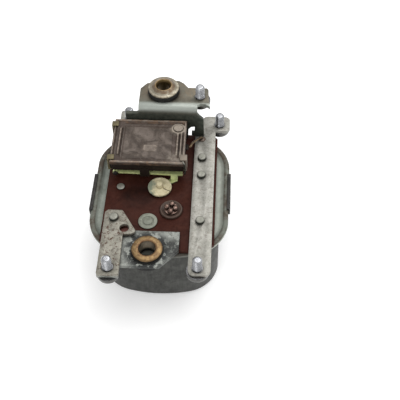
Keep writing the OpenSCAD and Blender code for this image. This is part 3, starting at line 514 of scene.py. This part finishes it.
MATERIALS = {
    "can_steel": drawn_steel("can_steel"),
    "tray_zinc": worn_metal("tray_zinc", (0.3, 0.325, 0.285), (0.19, 0.21, 0.18), (0.09, 0.09, 0.07),
                            rough=(0.5, 0.7), metallic=0.35, tint=tray_marks_and_shading, edge=0.2),
    "dark_steel": worn_metal("dark_steel", (0.055, 0.05, 0.045), (0.025, 0.025, 0.024),
                             (0.012, 0.01, 0.009), edge=0.3),
    "zinc": worn_metal("zinc", *ZINC, rust=0.3, metallic=0.6, speck=0.8),
    "zinc_rusty": worn_metal("zinc_rusty", (0.31, 0.295, 0.25), (0.2, 0.19, 0.155), (0.065, 0.055, 0.042),
                             rust=1.0, metallic=0.5, speck=1.0, stains=0.75),
    "zinc_stained": worn_metal("zinc_stained", (0.29, 0.3, 0.275), (0.19, 0.2, 0.18), (0.04, 0.04, 0.037),
                               stains=0.4, rust=0.1, metallic=0.6, tint=bush_stain),
    "zinc_bracket": worn_metal("zinc_bracket", (0.16, 0.156, 0.125), (0.1, 0.1, 0.08), (0.04, 0.038, 0.03),
                               stains=0.4, rust=0.1, metallic=0.6, tint=bracket_light_and_stain),
    "rivet_grey": worn_metal("rivet_grey", (0.33, 0.325, 0.28), (0.2, 0.2, 0.17), (0.04, 0.038, 0.034),
                             metallic=0.6, tint=flank_shade),
    "post_grey": worn_metal("post_grey", (0.26, 0.27, 0.22), (0.17, 0.18, 0.145), (0.06, 0.06, 0.045),
                            metallic=0.5, rough=(0.5, 0.7)),
    "bright_zinc": worn_metal("bright_zinc", (0.62, 0.63, 0.64), (0.36, 0.37, 0.38), (0.06, 0.062, 0.065),
                              stains=0.35, rough=(0.16, 0.34), metallic=0.95, speck=0.4,
                              tint=screw_marks_and_shade),
    "phenolic_board": phenolic("phenolic_board", (0.03, 0.0085, 0.0055), (0.066, 0.024, 0.016),
                               (0.085, 0.045, 0.03), scuffs=0.45, shine=0.06, tint=board_light_and_shade),
    "phenolic_cover": phenolic("phenolic_cover", (0.036, 0.025, 0.018), (0.15, 0.12, 0.1),
                               (0.28, 0.23, 0.185), scuffs=0.85, shine=0.3, tint=moulding),
    "phenolic_dark": phenolic("phenolic_dark", (0.012, 0.008, 0.006), (0.022, 0.017, 0.012),
                              (0.05, 0.04, 0.03), shine=0.12, edge=0.35),
    "rubber": rubber("rubber"),
    "fibre": rubber("fibre", (0.035, 0.028, 0.02), (0.09, 0.075, 0.055)),
    "brass": brass("brass", (0.3, 0.2, 0.09), (0.2, 0.13, 0.06), (0.1, 0.055, 0.03), tint=front_rings),
    "brass_rear": brass("brass_rear", (0.36, 0.33, 0.26), (0.25, 0.22, 0.165), (0.15, 0.12, 0.085),
                        tint=rear_rings),
    "brass_plain": brass("brass_plain", (0.36, 0.25, 0.1), (0.25, 0.17, 0.07), (0.12, 0.07, 0.03)),
    "passivated": worn_metal("passivated", (0.72, 0.78, 0.36), (0.4, 0.45, 0.2), (0.15, 0.15, 0.06),
                             rough=(0.3, 0.45), speck=0.4, metallic=0.3),
    "olive_clip": worn_metal("olive_clip", (0.15, 0.125, 0.06), (0.09, 0.072, 0.036), (0.025, 0.018, 0.01),
                             metallic=0.4, tint=clip_sides),
    "nylon_cream": nylon("nylon_cream"),
    "brown_plastic": phenolic("brown_plastic", (0.045, 0.026, 0.018), (0.11, 0.075, 0.055),
                              (0.26, 0.2, 0.15), shine=0.4),
    "adjuster_metal": brass("adjuster_metal", (0.25, 0.17, 0.14), (0.13, 0.08, 0.062), (0.055, 0.03, 0.022),
                            rough=(0.12, 0.25)),
    "copper_wire": brass("copper_wire", (0.2, 0.145, 0.085), (0.12, 0.08, 0.045), (0.055, 0.035, 0.02)),
    "solder": worn_metal("solder", (0.16, 0.125, 0.1), (0.1, 0.07, 0.055), (0.035, 0.022, 0.015), rust=0.4),
    "spring_steel": worn_metal("spring_steel", (0.3, 0.3, 0.3), (0.2, 0.2, 0.2), (0.07, 0.065, 0.06)),
    "ivory_plastic": phenolic("ivory_plastic", (0.5, 0.46, 0.36), (0.6, 0.56, 0.45), (0.65, 0.6, 0.5)),
}


# ---------------------------------------------------------------- mesh helpers

def as_object(name, mesh, node, material=None, replaced=None, sharp=35):
    """Shade a finished mesh, give it its material, and let it ride in place of its CAD node."""
    mesh.materials.clear()
    mesh.materials.append(MATERIALS[material or NODE_SLOT[node]])
    mesh.shade_smooth()
    mesh.set_sharp_from_angle(angle=math.radians(sharp))
    piece = bpy.data.objects.new(name, mesh)
    bpy.context.scene.collection.objects.link(piece)
    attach(piece, NODE_BODY[node])
    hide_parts(*(replaced or [node]))
    return piece


def from_bmesh(name, bm):
    mesh = bpy.data.meshes.new(name)
    bmesh.ops.recalc_face_normals(bm, faces=bm.faces)
    bm.to_mesh(mesh)
    bm.free()
    return mesh


def applied(name, mesh, *settings):
    """The mesh after the given modifiers; each setting is (kind, {property: value})."""
    helper = bpy.data.objects.new(name + "_helper", mesh)
    bpy.context.scene.collection.objects.link(helper)
    for kind, values in settings:
        modifier = helper.modifiers.new(kind, kind)
        for key, value in values.items():
            setattr(modifier, key, value)
    ready = helper.evaluated_get(bpy.context.evaluated_depsgraph_get())
    result = bpy.data.meshes.new_from_object(ready)
    result.name = name
    bpy.data.objects.remove(helper)
    return result


def cad_copy(node, merged=True):
    """A welded copy of a CAD node's mesh, with its level triangles merged unless told not to."""
    bm = bmesh.new()
    bm.from_mesh(frame["nodes"][node].data)
    bmesh.ops.remove_doubles(bm, verts=bm.verts, dist=0.002 * MM)
    if merged:
        bmesh.ops.dissolve_limit(bm, angle_limit=math.radians(0.5), verts=bm.verts, edges=bm.edges)
    return from_bmesh(node, bm)


def softened(node, width=0.2, segments=2, material=None, angle=30):
    """The CAD shape with its sharp edges rounded."""
    mesh = applied(node, cad_copy(node), ("BEVEL", {
        "width": width * MM, "segments": segments, "limit_method": "ANGLE",
        "angle_limit": math.radians(angle), "use_clamp_overlap": True, "harden_normals": False}))
    return as_object(node + "_look", mesh, node, material)


def dressed(node, material=None):
    """A CAD node that shows as it is, with a better material."""
    mesh = frame["nodes"][node].data
    mesh.materials.clear()
    mesh.materials.append(MATERIALS[material or NODE_SLOT[node]])


def filleted(corners, steps=3):
    """A closed section whose corners (a, b, fillet) are rounded."""
    points = []
    for i, (a, b, fillet) in enumerate(corners):
        here = Vector((a, b))
        if fillet <= 0:
            points.append(here)
            continue
        before = Vector(corners[i - 1][:2]) - here
        after = Vector(corners[(i + 1) % len(corners)][:2]) - here
        start = here + before.normalized() * min(fillet, before.length / 2)
        end = here + after.normalized() * min(fillet, after.length / 2)
        for k in range(steps + 1):
            t = k / steps
            points.append(start * (1 - t) ** 2 + here * 2 * t * (1 - t) + end * t ** 2)
    return points


class Shape:
    """A mesh that grows from skins over rings of points, in millimetres."""

    def __init__(self):
        self.bm = bmesh.new()

    def skin(self, rings, loop=False):
        """Faces between rings of equal length; unless looped, both ends are closed."""
        rows = [[self.bm.verts.new([v * MM for v in p]) for p in ring] for ring in rings]
        count = len(rows[0])
        below = rows if loop else rows[:-1]
        above = rows[1:] + rows[:1] if loop else rows[1:]
        for low, high in zip(below, above):
            for k in range(count):
                n = (k + 1) % count
                self.bm.faces.new((low[k], low[n], high[n], high[k]))
        if not loop:
            self.bm.faces.new(rows[0])
            self.bm.faces.new(list(reversed(rows[-1])))

    def lathe(self, x, y, section, around=72, loop=True):
        """A turned shape: the section is (radius, height) points."""
        angles = [2 * math.pi * k / around for k in range(around)]
        rings = [[(x + r * math.cos(a), y + r * math.sin(a), z) for a in angles] for r, z in section]
        self.skin(rings, loop)

    def mesh(self, name):
        return from_bmesh(name, self.bm)


def bowed_outline(width, front, rear, radius, bow=1.4, steps=12):
    """Points round a rounded rectangle whose front and rear walls bow outwards."""
    half = width / 2 - radius
    big = half * half / (2 * bow) + bow / 2 + radius
    turn = math.atan2(half, big - radius - bow)
    near, far = front + radius + bow, rear - radius - bow
    points = []

    def arc(x, y, r, start, end):
        for k in range(steps):
            a = start + (end - start) * k / steps
            points.append((x + r * math.sin(a), y - r * math.cos(a)))

    arc(0, front + big, big, -turn, turn)
    arc(half, near, radius, turn, math.pi / 2)
    arc(half, far, radius, math.pi / 2, math.pi - turn)
    arc(0, rear - big, big, math.pi - turn, math.pi + turn)
    arc(-half, far, radius, math.pi + turn, 1.5 * math.pi)
    arc(-half, near, radius, 1.5 * math.pi, 2 * math.pi - turn)
    return points


# ---------------------------------------------------------------- can and tray

TRAY_R = 22
CAN_R = 19
SHEET = 1.0
# Depth of the tray's trough below its crest, and radius of its relief for the front bush
TROUGH = 1.8
RELIEF_R = 9.6
# Outside radius of a bush's tube, and radius of a grommet's neck in its plate
TUBE_R = 5.1
NECK_R = 6.5
# Rivet heads, and the places of the right strip's rivets, which share one CAD node
RIVET_R = 2.3
RIVET_HIGH = 1.8
RIGHT_RIVETS = ((20.5, 22.4), (20.6, 10.5), (21.1, -19.2))
# Spacing of the moulded cover's mesh
COVER_STEP = 0.22


def can():
    """Drawn can: rounded bottom edge and upright walls with a rounded rim."""
    s = Span("pressure_can")

    def ring(inset, z):
        outline = bowed_outline(s.w - 2 * inset, s.y0 + inset, s.y1 - inset, CAN_R - inset)
        return [(x, y, z) for x, y in outline]

    edge = 1.6
    steps = 4
    turns = [math.pi / 2 * k / steps for k in range(steps + 1)]
    rings = [ring(edge * (1 - math.sin(a)), s.z0 + edge * (1 - math.cos(a))) for a in turns]
    rings.append(ring(0, s.z1 - 0.3))
    rings.append(ring(0.15, s.z1))
    rings.append(ring(SHEET - 0.15, s.z1))
    rings.append(ring(SHEET, s.z1 - 0.3))
    rings.append(ring(SHEET, s.z0 + edge + 0.5))
    rings.append(ring(SHEET + 0.6, s.z0 + SHEET))
    shape = Shape()
    shape.skin(rings)
    as_object("pressure_can_look", shape.mesh("pressure_can_look"), "pressure_can", sharp=50)


def tray():
    """Pressed tray: a rolled hem, and a slope down to a trough inside it."""
    s = Span("tray_frame")
    trough = s.z1 - TROUGH
    hem = s.z1 - 2
    section = filleted([
        (0, hem, 0.2), (0, s.z1, 0.8), (2.3, s.z1, 0.8), (4, trough, 1.0), (11, trough, 0.2),
        (11, s.z0, 0.2), (2.2, s.z0, 0.5), (1.6, s.z1 - SHEET, 0.4), (1, s.z1 - SHEET, 0.2), (1, hem, 0.2)])
    rings = [[(x, y, z) for x, y in bowed_outline(s.w - 2 * i, s.y0 + i, s.y1 - i, TRAY_R - i)]
             for i, z in section]
    shape = Shape()
    shape.skin(rings, loop=True)
    (x, y, _), _, _ = mount_place("front_bush_bore")
    cutter = Shape()
    cutter.lathe(x, y, [(RELIEF_R, trough - 0.3), (RELIEF_R, s.z1 + 1)], loop=False)
    tool = bpy.data.objects.new("tray_cutter", cutter.mesh("tray_cutter"))
    bpy.context.scene.collection.objects.link(tool)
    mesh = applied("tray_frame_look", shape.mesh("tray"), ("BOOLEAN", {
        "operation": "DIFFERENCE", "object": tool, "solver": "EXACT"}))
    bpy.data.objects.remove(tool)
    as_object("tray_frame_look", mesh, "tray_frame", sharp=40)


# ---------------------------------------------------------------- turned parts

def front_bush():
    s = Span("front_bush")
    (x, y, _), bore, _ = mount_place("front_bush_bore")
    flange = s.w / 2
    under = s.z1 - 1.1
    section = filleted([
        (bore, s.z0, 0.2), (TUBE_R, s.z0, 0.3), (TUBE_R, under, 0), (flange, under, 0.35),
        (flange, s.z1 - 0.35, 0.45), (bore + 1.6, s.z1, 0.5), (bore, s.z1, 0.7)], 4)
    shape = Shape()
    shape.lathe(x, y, section)
    as_object("front_bush_look", shape.mesh("front_bush_look"), "front_bush", sharp=60)


def rear_bush():
    s = Span("rear_bush")
    (x, y, _), bore, _ = mount_place("rear_bush_bore")
    flange = s.w / 2
    under = s.z1 - 2.8
    section = filleted([
        (bore, s.z0, 0.2), (TUBE_R, s.z0, 0.3), (TUBE_R, under, 0), (flange, under, 0.3),
        (flange, under + 0.9, 0.35),
        (flange - 1.1, under + 0.95, 0.4), (bore + 1.7, s.z1 - 0.4, 0.5), (bore + 1.1, s.z1, 0.3),
        (bore, s.z1 - 1.5, 0.6)], 4)
    shape = Shape()
    shape.lathe(x, y, section)
    as_object("rear_bush_look", shape.mesh("rear_bush_look"), "rear_bush", "brass_rear", sharp=60)


def grommet(node, mount, r, plate_low, plate_high):
    """Grooved rubber ring; the plate sits in its groove. Its upper lip has radius r."""
    s = Span(node)
    (x, y, _), _, _ = mount_place(mount)
    low_r = s.w / 2
    hole = TUBE_R + 0.05
    half_lip = (s.z1 - plate_high) / 2
    section = filleted([
        (hole, s.z0, 0.3), (low_r, s.z0, 0.5), (low_r, plate_low, 0.4), (NECK_R, plate_low, 0),
        (NECK_R, plate_high, 0), (r, plate_high, min(0.5, half_lip)), (r, s.z1, min(0.7, half_lip)),
        (hole, s.z1, 0.3)])
    shape = Shape()
    shape.lathe(x, y, section)
    as_object(node + "_look", shape.mesh(node + "_look"), node, sharp=60)


def screw_thread(shape, x, y, z0, z1, radius, pitch=0.8, depth=0.4):
    """A rolled thread with a chamfered tip, as a skin whose radius follows the helix."""
    around = 32
    per_pitch = 10
    rows = int((z1 - z0) / pitch * per_pitch)
    rings = []
    for i in range(rows + 1):
        z = z0 + (z1 - z0) * i / rows
        tip = max(0.0, 0.7 - (z1 - z)) * 0.9
        foot = max(0.0, 0.5 - (z - z0)) * 0.5
        ring = []
        for k in range(around):
            turn = (z - z0) / pitch - k / around
            groove = depth * (0.5 - 0.5 * math.cos(2 * math.pi * turn))
            r = min(radius - groove * (1 - foot), radius - tip)
            a = 2 * math.pi * k / around
            ring.append((x + r * math.cos(a), y + r * math.sin(a), z))
        rings.append(ring)
    centre = [(x + (px - x) * 0.55, y + (py - y) * 0.55, z1) for px, py, _ in rings[-1]]
    shape.skin(rings + [centre])


def terminal_screws():
    shape = Shape()
    all_heads = Span("terminal_screws")
    head_r = (all_heads.x1 - mount_place("rear_right_terminal")[0][0])
    for name in MOUNTS:
        if not name.endswith("_terminal"):
            continue
        (x, y, z), radius, length = mount_place(name)
        foot, top = z - length / 2, z + length / 2
        under = foot - STRIP_T * (2 if name == "front_left_terminal" else 1)
        screw_thread(shape, x, y, foot, top, radius)
        shoulder = radius + 0.4
        shape.lathe(x, y, [(shoulder, under), (shoulder, foot - 0.02), (radius, foot)], 32, loop=False)
        shape.lathe(x, y, filleted([(0.01, under - 3, 0), (head_r, under - 3, 1.3), (head_r, under, 0.3),
                                    (0.01, under, 0)], 4), 48)
    as_object("terminal_screws_look", shape.mesh("terminal_screws_look"), "terminal_screws", sharp=50)


def rivet_heads(node, places, top, low):
    """Set rivets with uneven hammered heads, and their tails under the board."""
    shape = Shape()
    seat = top - RIVET_HIGH
    for index, (x, y) in enumerate(places):
        around = 36
        rings = []
        for r, z in filleted([(0.01, low - 0.7, 0), (2, low - 0.7, 0.3), (2, low, 0.1), (1.4, low, 0),
                              (1.4, seat, 0), (RIVET_R, seat, 0.15), (RIVET_R - 0.05, top - 0.3, 0.35),
                              (1.6, top - 0.02, 0.3), (0.01, top - 0.1, 0)], 2):
            ring = []
            for k in range(around):
                a = 2 * math.pi * k / around
                bump = noise.noise(Vector((math.cos(a) * r, math.sin(a) * r, z + 7.3 * index)) * 0.8)
                radius = max(0.005, r - 0.07 * abs(bump) * min(1, r))
                dent = 0.08 * abs(bump) * (r < RIVET_R)
                ring.append((x + radius * math.cos(a), y + radius * math.sin(a), z - dent))
            rings.append(ring)
        shape.skin(rings, loop=False)
    as_object(node + "_look", shape.mesh(node + "_look"), node, "rivet_grey", sharp=45)


def rivets():
    right = Span("right_strip_rivets")
    board = Span("terminal_board")
    rivet_heads("right_strip_rivets", RIGHT_RIVETS, right.z1, board.z0)
    left = Span("left_strip_rivet")
    rivet_heads("left_strip_rivet", [(left.x, left.y)], left.z1, board.z0)


def plunger_disc():
    """Nylon disc with a raised rim, a shallow dish and a centre boss round the rod."""
    s = Span("plunger_disc")
    r = s.w / 2
    rod = Span("push_rod").w / 2
    section = filleted([
        (rod, s.z0, 0), (2.4, s.z0, 0.1), (2.4, s.z0 + 0.5, 0), (r, s.z0 + 0.5, 0.4),
        (r, s.z1 - 0.25, 0.35), (r - 0.7, s.z1, 0.35), (r - 1.2, s.z1 - 0.45, 0.4),
        (2.9, s.z1 - 0.6, 0.4), (2.3, s.z1 - 0.15, 0.3),
        (rod, s.z1 - 0.2, 0)])
    shape = Shape()
    shape.lathe(s.x, s.y, section)
    as_object("plunger_disc_look", shape.mesh("plunger_disc_look"), "plunger_disc", sharp=50)


def adjuster():
    """Dished collar, and a head of four rounded posts round a hollow."""
    s = Span("adjuster_collar")
    r = s.w / 2
    section = filleted([
        (2.05, s.z0, 0), (4, s.z0, 0.2), (4, BOARD_TOP, 0), (r, BOARD_TOP, 0.1), (r, s.z1 - 0.4, 0.4),
        (r - 0.6, s.z1, 0.3), (r - 1.3, s.z1 - 0.55, 0.4), (2.9, BOARD_TOP + 0.65, 0.3),
        (2.05, BOARD_TOP + 0.6, 0)])
    shape = Shape()
    shape.lathe(s.x, s.y, section)
    as_object("adjuster_collar_look", shape.mesh("adjuster_collar_look"), "adjuster_collar", sharp=50)

    head = Span("adjuster_screw")
    outer = head.w / 2
    post = outer * 0.37
    deck = head.z1 - 1.9
    shape = Shape()
    shape.lathe(head.x, head.y, filleted([
        (0.01, head.z0, 0), (2, head.z0, 0.3), (2, BOARD_TOP + 0.65, 0),
        (outer - 0.1, BOARD_TOP + 0.65, 0.2), (outer - 0.1, deck, 0.3), (0.01, deck - 0.1, 0)]), 48)
    for k in range(4):
        a = math.radians(-8 + 90 * k)
        x = head.x + (outer - post - 0.05) * math.cos(a)
        y = head.y + (outer - post - 0.05) * math.sin(a)
        section = filleted([(0.01, deck - 0.4, 0), (post, deck - 0.4, 0), (post, head.z1 - 0.5, 0.5),
                            (post * 0.55, head.z1, 0.3), (0.01, head.z1, 0)], 4)
        shape.lathe(x, y, section, 24)
    as_object("adjuster_screw_look", shape.mesh("adjuster_screw_look"), "adjuster_screw", "adjuster_metal",
              sharp=50)


# ---------------------------------------------------------------- moulded cover

def smooth_step(value, low, high):
    t = min(1.0, max(0.0, (value - low) / (high - low)))
    return t * t * (3 - 2 * t)


def plateau(x, y, box, slope=0.3, corner=0.4):
    """1 inside a rounded box (x0, x1, y0, y1) and 0 outside, with a soft slope between."""
    dx = max(box[0] + corner - x, x - box[1] + corner)
    dy = max(box[2] + corner - y, y - box[3] + corner)
    outside = math.hypot(max(dx, 0), max(dy, 0)) + min(max(dx, dy), 0) - corner
    return 1 - smooth_step(outside, -slope, slope)


def cover_height(x, y, s):
    """Height of the moulded top, in millimetres above the lip."""
    screw = Span("cover_screw")
    h = -0.8 * plateau(x, y, (s.x0 + 1, s.x1 - 1.2, s.y0 + 1.4, s.y1 - 1.5))
    panel = plateau(x, y, (s.x0 + 6, s.x1 - 7.1, s.y0 + 3.2, s.y1 - 5.2))
    h = max(h, -0.35) * panel + h * (1 - panel)
    ribs = (
        (s.x0 + 1.6, s.x0 + 2.4, s.y0 + 3, s.y1 - 3.2, 0.55),
        (s.x0 + 3.1, s.x0 + 4.3, s.y0 + 5.6, s.y1 - 6.4, 0.95),
        (s.x0 + 4.9, s.x0 + 5.5, s.y0 + 4.2, s.y1 - 5, 0.45),
        (s.x1 - 5.0, s.x1 - 3.8, s.y0 + 5.8, s.y1 - 9.4, 0.95),
        (s.x1 - 3.0, s.x1 - 2.0, s.y0 + 4.2, s.y1 - 9.4, 0.95),
        (s.x0 + 3, s.x1 - 6.5, s.y1 - 3.9, s.y1 - 3.1, 0.35),
    )
    for x0, x1, y0, y1, rise in ribs:
        h = max(h, -0.95 + rise * plateau(x, y, (x0, x1, y0, y1), 0.3, 0.3))
    trench = plateau(x, y, (s.x0 + 4.35, s.x0 + 4.75, s.y0 + 4.6, s.y1 - 5.4), 0.2, 0.15)
    trench = max(trench, plateau(x, y, (s.x1 - 3.7, s.x1 - 3.1, s.y0 + 4.6, s.y1 - 9.4), 0.2, 0.15))
    h -= 0.45 * trench
    inner = (PAD[0] + 0.6, PAD[1] - 0.6, PAD[2] + 0.6, PAD[3] - 0.6)
    h += 0.34 * plateau(x, y, PAD, 0.3, 1.4) - 0.22 * plateau(x, y, inner, 0.3, 0.9)
    away = math.hypot(x - screw.x, y - screw.y)
    boss = 1 - smooth_step(away, 3.5, 4.1)
    h = h * (1 - boss) + 0.15 * boss
    h -= 0.45 * (smooth_step(away, 2.2, 2.5) - smooth_step(away, 2.7, 3.0))
    h += 0.07 * noise.noise(Vector((x, y, 0)) * 0.35) + 0.05 * noise.noise(Vector((x, y, 9)) * 1.1)
    rim = min(x - s.x0, s.x1 - x, y - s.y0, s.y1 - y)
    h -= 0.45 * (1 - smooth_step(rim, 0, 0.5)) + 0.1
    return h


def switch_cover():
    s = Span("switch_cover")
    lip_z = s.z1 - 0.3
    columns = int(s.w / COVER_STEP)
    rows = int(s.d / COVER_STEP)
    bm = bmesh.new()
    grid = []
    for j in range(rows + 1):
        y = s.y0 + s.d * j / rows
        line = []
        for i in range(columns + 1):
            x = s.x0 + s.w * i / columns
            line.append(bm.verts.new((x * MM, y * MM, (lip_z + cover_height(x, y, s)) * MM)))
        grid.append(line)
    for low, high in zip(grid, grid[1:]):
        for k in range(columns):
            bm.faces.new((low[k], low[k + 1], high[k + 1], high[k]))
    right = [line[-1] for line in grid[1:]]
    left = [line[0] for line in grid[-2:0:-1]]
    border = grid[0] + right + grid[-1][-2::-1] + left
    floor = [bm.verts.new((v.co.x, v.co.y, s.z0 * MM)) for v in border]
    for k in range(len(border)):
        n = (k + 1) % len(border)
        bm.faces.new((border[k], floor[k], floor[n], border[n]))
    bm.faces.new(floor)
    as_object("switch_cover_look", from_bmesh("switch_cover_look", bm), "switch_cover", sharp=50)


# ---------------------------------------------------------------- wires and solder

def smooth_copy(node, material=None):
    """A wire or spring: the CAD tube with a rounder section."""
    mesh = applied(node, cad_copy(node, merged=False), ("SUBSURF", {"levels": 1, "render_levels": 1}))
    return as_object(node + "_look", mesh, node, material, sharp=80)


def solder():
    s = Span("solder_joint")
    base = BOARD_TOP + STRIP_T
    rings = []
    around = 32
    for r, z in ((1.2, s.z0), (1.2, base - 0.05), (2.1, base), (2.05, base + 0.2), (1.5, s.z1 - 0.12),
                 (0.8, s.z1), (0.01, s.z1)):
        ring = []
        for k in range(around):
            a = 2 * math.pi * k / around
            ragged = 1 - 0.22 * abs(noise.noise(Vector((math.cos(a), math.sin(a), z)) * 1.7)) * (r > 1.3)
            ring.append((s.x + r * ragged * math.cos(a), s.y + r * ragged * math.sin(a), z))
        rings.append(ring)
    shape = Shape()
    shape.skin(rings)
    as_object("solder_joint_look", shape.mesh("solder_joint_look"), "solder_joint", sharp=60)


def switch_lever():
    """The CAD lever, with the face of its tab leaning back to catch the light."""
    mesh = cad_copy("switch_lever")
    s = Span("switch_lever")
    for vertex in mesh.vertices:
        x, y, z = (v / MM for v in vertex.co)
        if s.x1 - 6.5 < x < s.x1 - 2 and abs(y - s.y0 - 2.9) < 0.2 and z > s.z0 + 3:
            vertex.co.y += 0.9 * MM
    mesh = applied("switch_lever", mesh, ("BEVEL", {
        "width": 0.2 * MM, "segments": 2, "limit_method": "ANGLE", "angle_limit": math.radians(30)}))
    as_object("switch_lever_look", mesh, "switch_lever")


# ---------------------------------------------------------------- dressing the rest

CUSTOM = {
    "pressure_can": can, "tray_frame": tray, "front_bush": front_bush, "rear_bush": rear_bush,
    "terminal_screws": terminal_screws, "right_strip_rivets": rivets, "plunger_disc": plunger_disc,
    "adjuster_collar": adjuster, "switch_cover": switch_cover, "solder_joint": solder,
    "switch_lever": switch_lever,
}
MADE_WITH_OTHERS = ("left_strip_rivet", "adjuster_screw", "front_grommet", "rear_grommet")
PLAIN = ("floor_rivets", "can_gasket", "board_spacer", "left_strip_spacer", "diaphragm", "range_spring",
         "trim_spring", "lever_spring")
WIRES = ("jumper_wire", "wire_clip")
LOOKS = {
    "left_strip": "zinc_rusty", "rear_bracket": "zinc_bracket", "guide_post": "post_grey",
    # phenolic_dark on the switch base, carrier and terminals is their own dark phenolic, made near-black as
    # painted shade under the cover's lip.
    "board_rivet": "rivet_grey", "rear_left_rivets": "rivet_grey", "switch_base": "phenolic_dark",
    "switch_carrier": "phenolic_dark", "cover_clip": "olive_clip", "switch_terminals": "phenolic_dark",
    # dark_steel on the lever pivot pin is painted shade: the pin sits in shadow above the lever's end.
    "lever_pivot_pin": "dark_steel", "wire_clip": "rivet_grey", "front_washers": "dark_steel",
    "rod_guide": "brass_plain", "capsule_base": "brass_plain", "inlet_fitting": "brass_plain",
    "inlet_nut": "brass_plain", "contact_nc": "brass_plain", "contact_no": "brass_plain",
    "blade_clamp": "brass_plain", "contact_blade": "brass_plain", "push_rod": "nylon_cream",
}
EDGE = {"terminal_board": 0.15, "right_strip": 0.3, "left_strip": 0.3, "front_bracket": 0.3,
        "rear_bracket": 0.3, "rear_left_strip": 0.3, "board_rivet": 0.3, "guide_post": 0.3,
        "side_clips": 0.15}

for node in frame["nodes"]:
    if node in CUSTOM:
        CUSTOM[node]()
    elif node in WIRES:
        smooth_copy(node, LOOKS.get(node))
    elif node in PLAIN:
        dressed(node, LOOKS.get(node))
    elif node not in MADE_WITH_OTHERS:
        softened(node, EDGE.get(node, 0.2), material=LOOKS.get(node))

PLATE_TOP = Span("rear_bracket").z1
grommet("front_grommet", "front_bush_bore", 8.1, BOARD_TOP, BOARD_TOP + STRIP_T)
grommet("rear_grommet", "rear_bush_bore", 8.5, PLATE_TOP - STRIP_T, PLATE_TOP)


# ---------------------------------------------------------------- stage

def studio():
    """A plain pale floor with soft light from behind and to the right."""
    bm = bmesh.new()
    bmesh.ops.create_grid(bm, x_segments=2, y_segments=2, size=3.0)
    floor = bpy.data.objects.new("studio_floor", from_bmesh("studio_floor", bm))
    floor.data.materials.append(stage_material())
    bpy.context.scene.collection.objects.link(floor)

    world = bpy.data.worlds.new("studio_world")
    world.use_nodes = True
    background = world.node_tree.nodes["Background"]
    background.inputs["Color"].default_value = (1, 1, 1, 1)
    background.inputs["Strength"].default_value = 0.76
    bpy.context.scene.world = world

    lights = (
        ("key_light", (0.22, 0.3, 0.8), 0.8, 5.0),
        ("front_light", (-0.3, -0.7, 0.7), 0.6, 1.7),
    )
    for name, place, size, power in lights:
        data = bpy.data.lights.new(name, "AREA")
        data.size = size
        data.energy = power
        lamp = bpy.data.objects.new(name, data)
        lamp.location = place
        lamp.rotation_euler = (Vector((0, 0, 0.04)) - Vector(place)).to_track_quat("-Z", "Y").to_euler()
        bpy.context.scene.collection.objects.link(lamp)


def camera():
    """Camera in front of and above the switch, as in the photograph."""
    yaw = math.radians(-2.32)
    tilt = math.radians(52.24)
    distance = 368.3
    target = Vector((20.5, -4.3, BOARD_TOP))
    forward = Vector((math.sin(yaw) * math.cos(tilt), math.cos(yaw) * math.cos(tilt), -math.sin(tilt)))
    data = bpy.data.cameras.new("camera")
    data.sensor_width = 36
    data.lens = 64.3
    eye = bpy.data.objects.new("camera", data)
    eye.location = (target - forward * distance) * MM
    eye.rotation_euler = forward.to_track_quat("-Z", "Y").to_euler()
    bpy.context.scene.collection.objects.link(eye)
    bpy.context.scene.camera = eye


studio()
camera()
bpy.context.scene.view_settings.view_transform = "Standard"
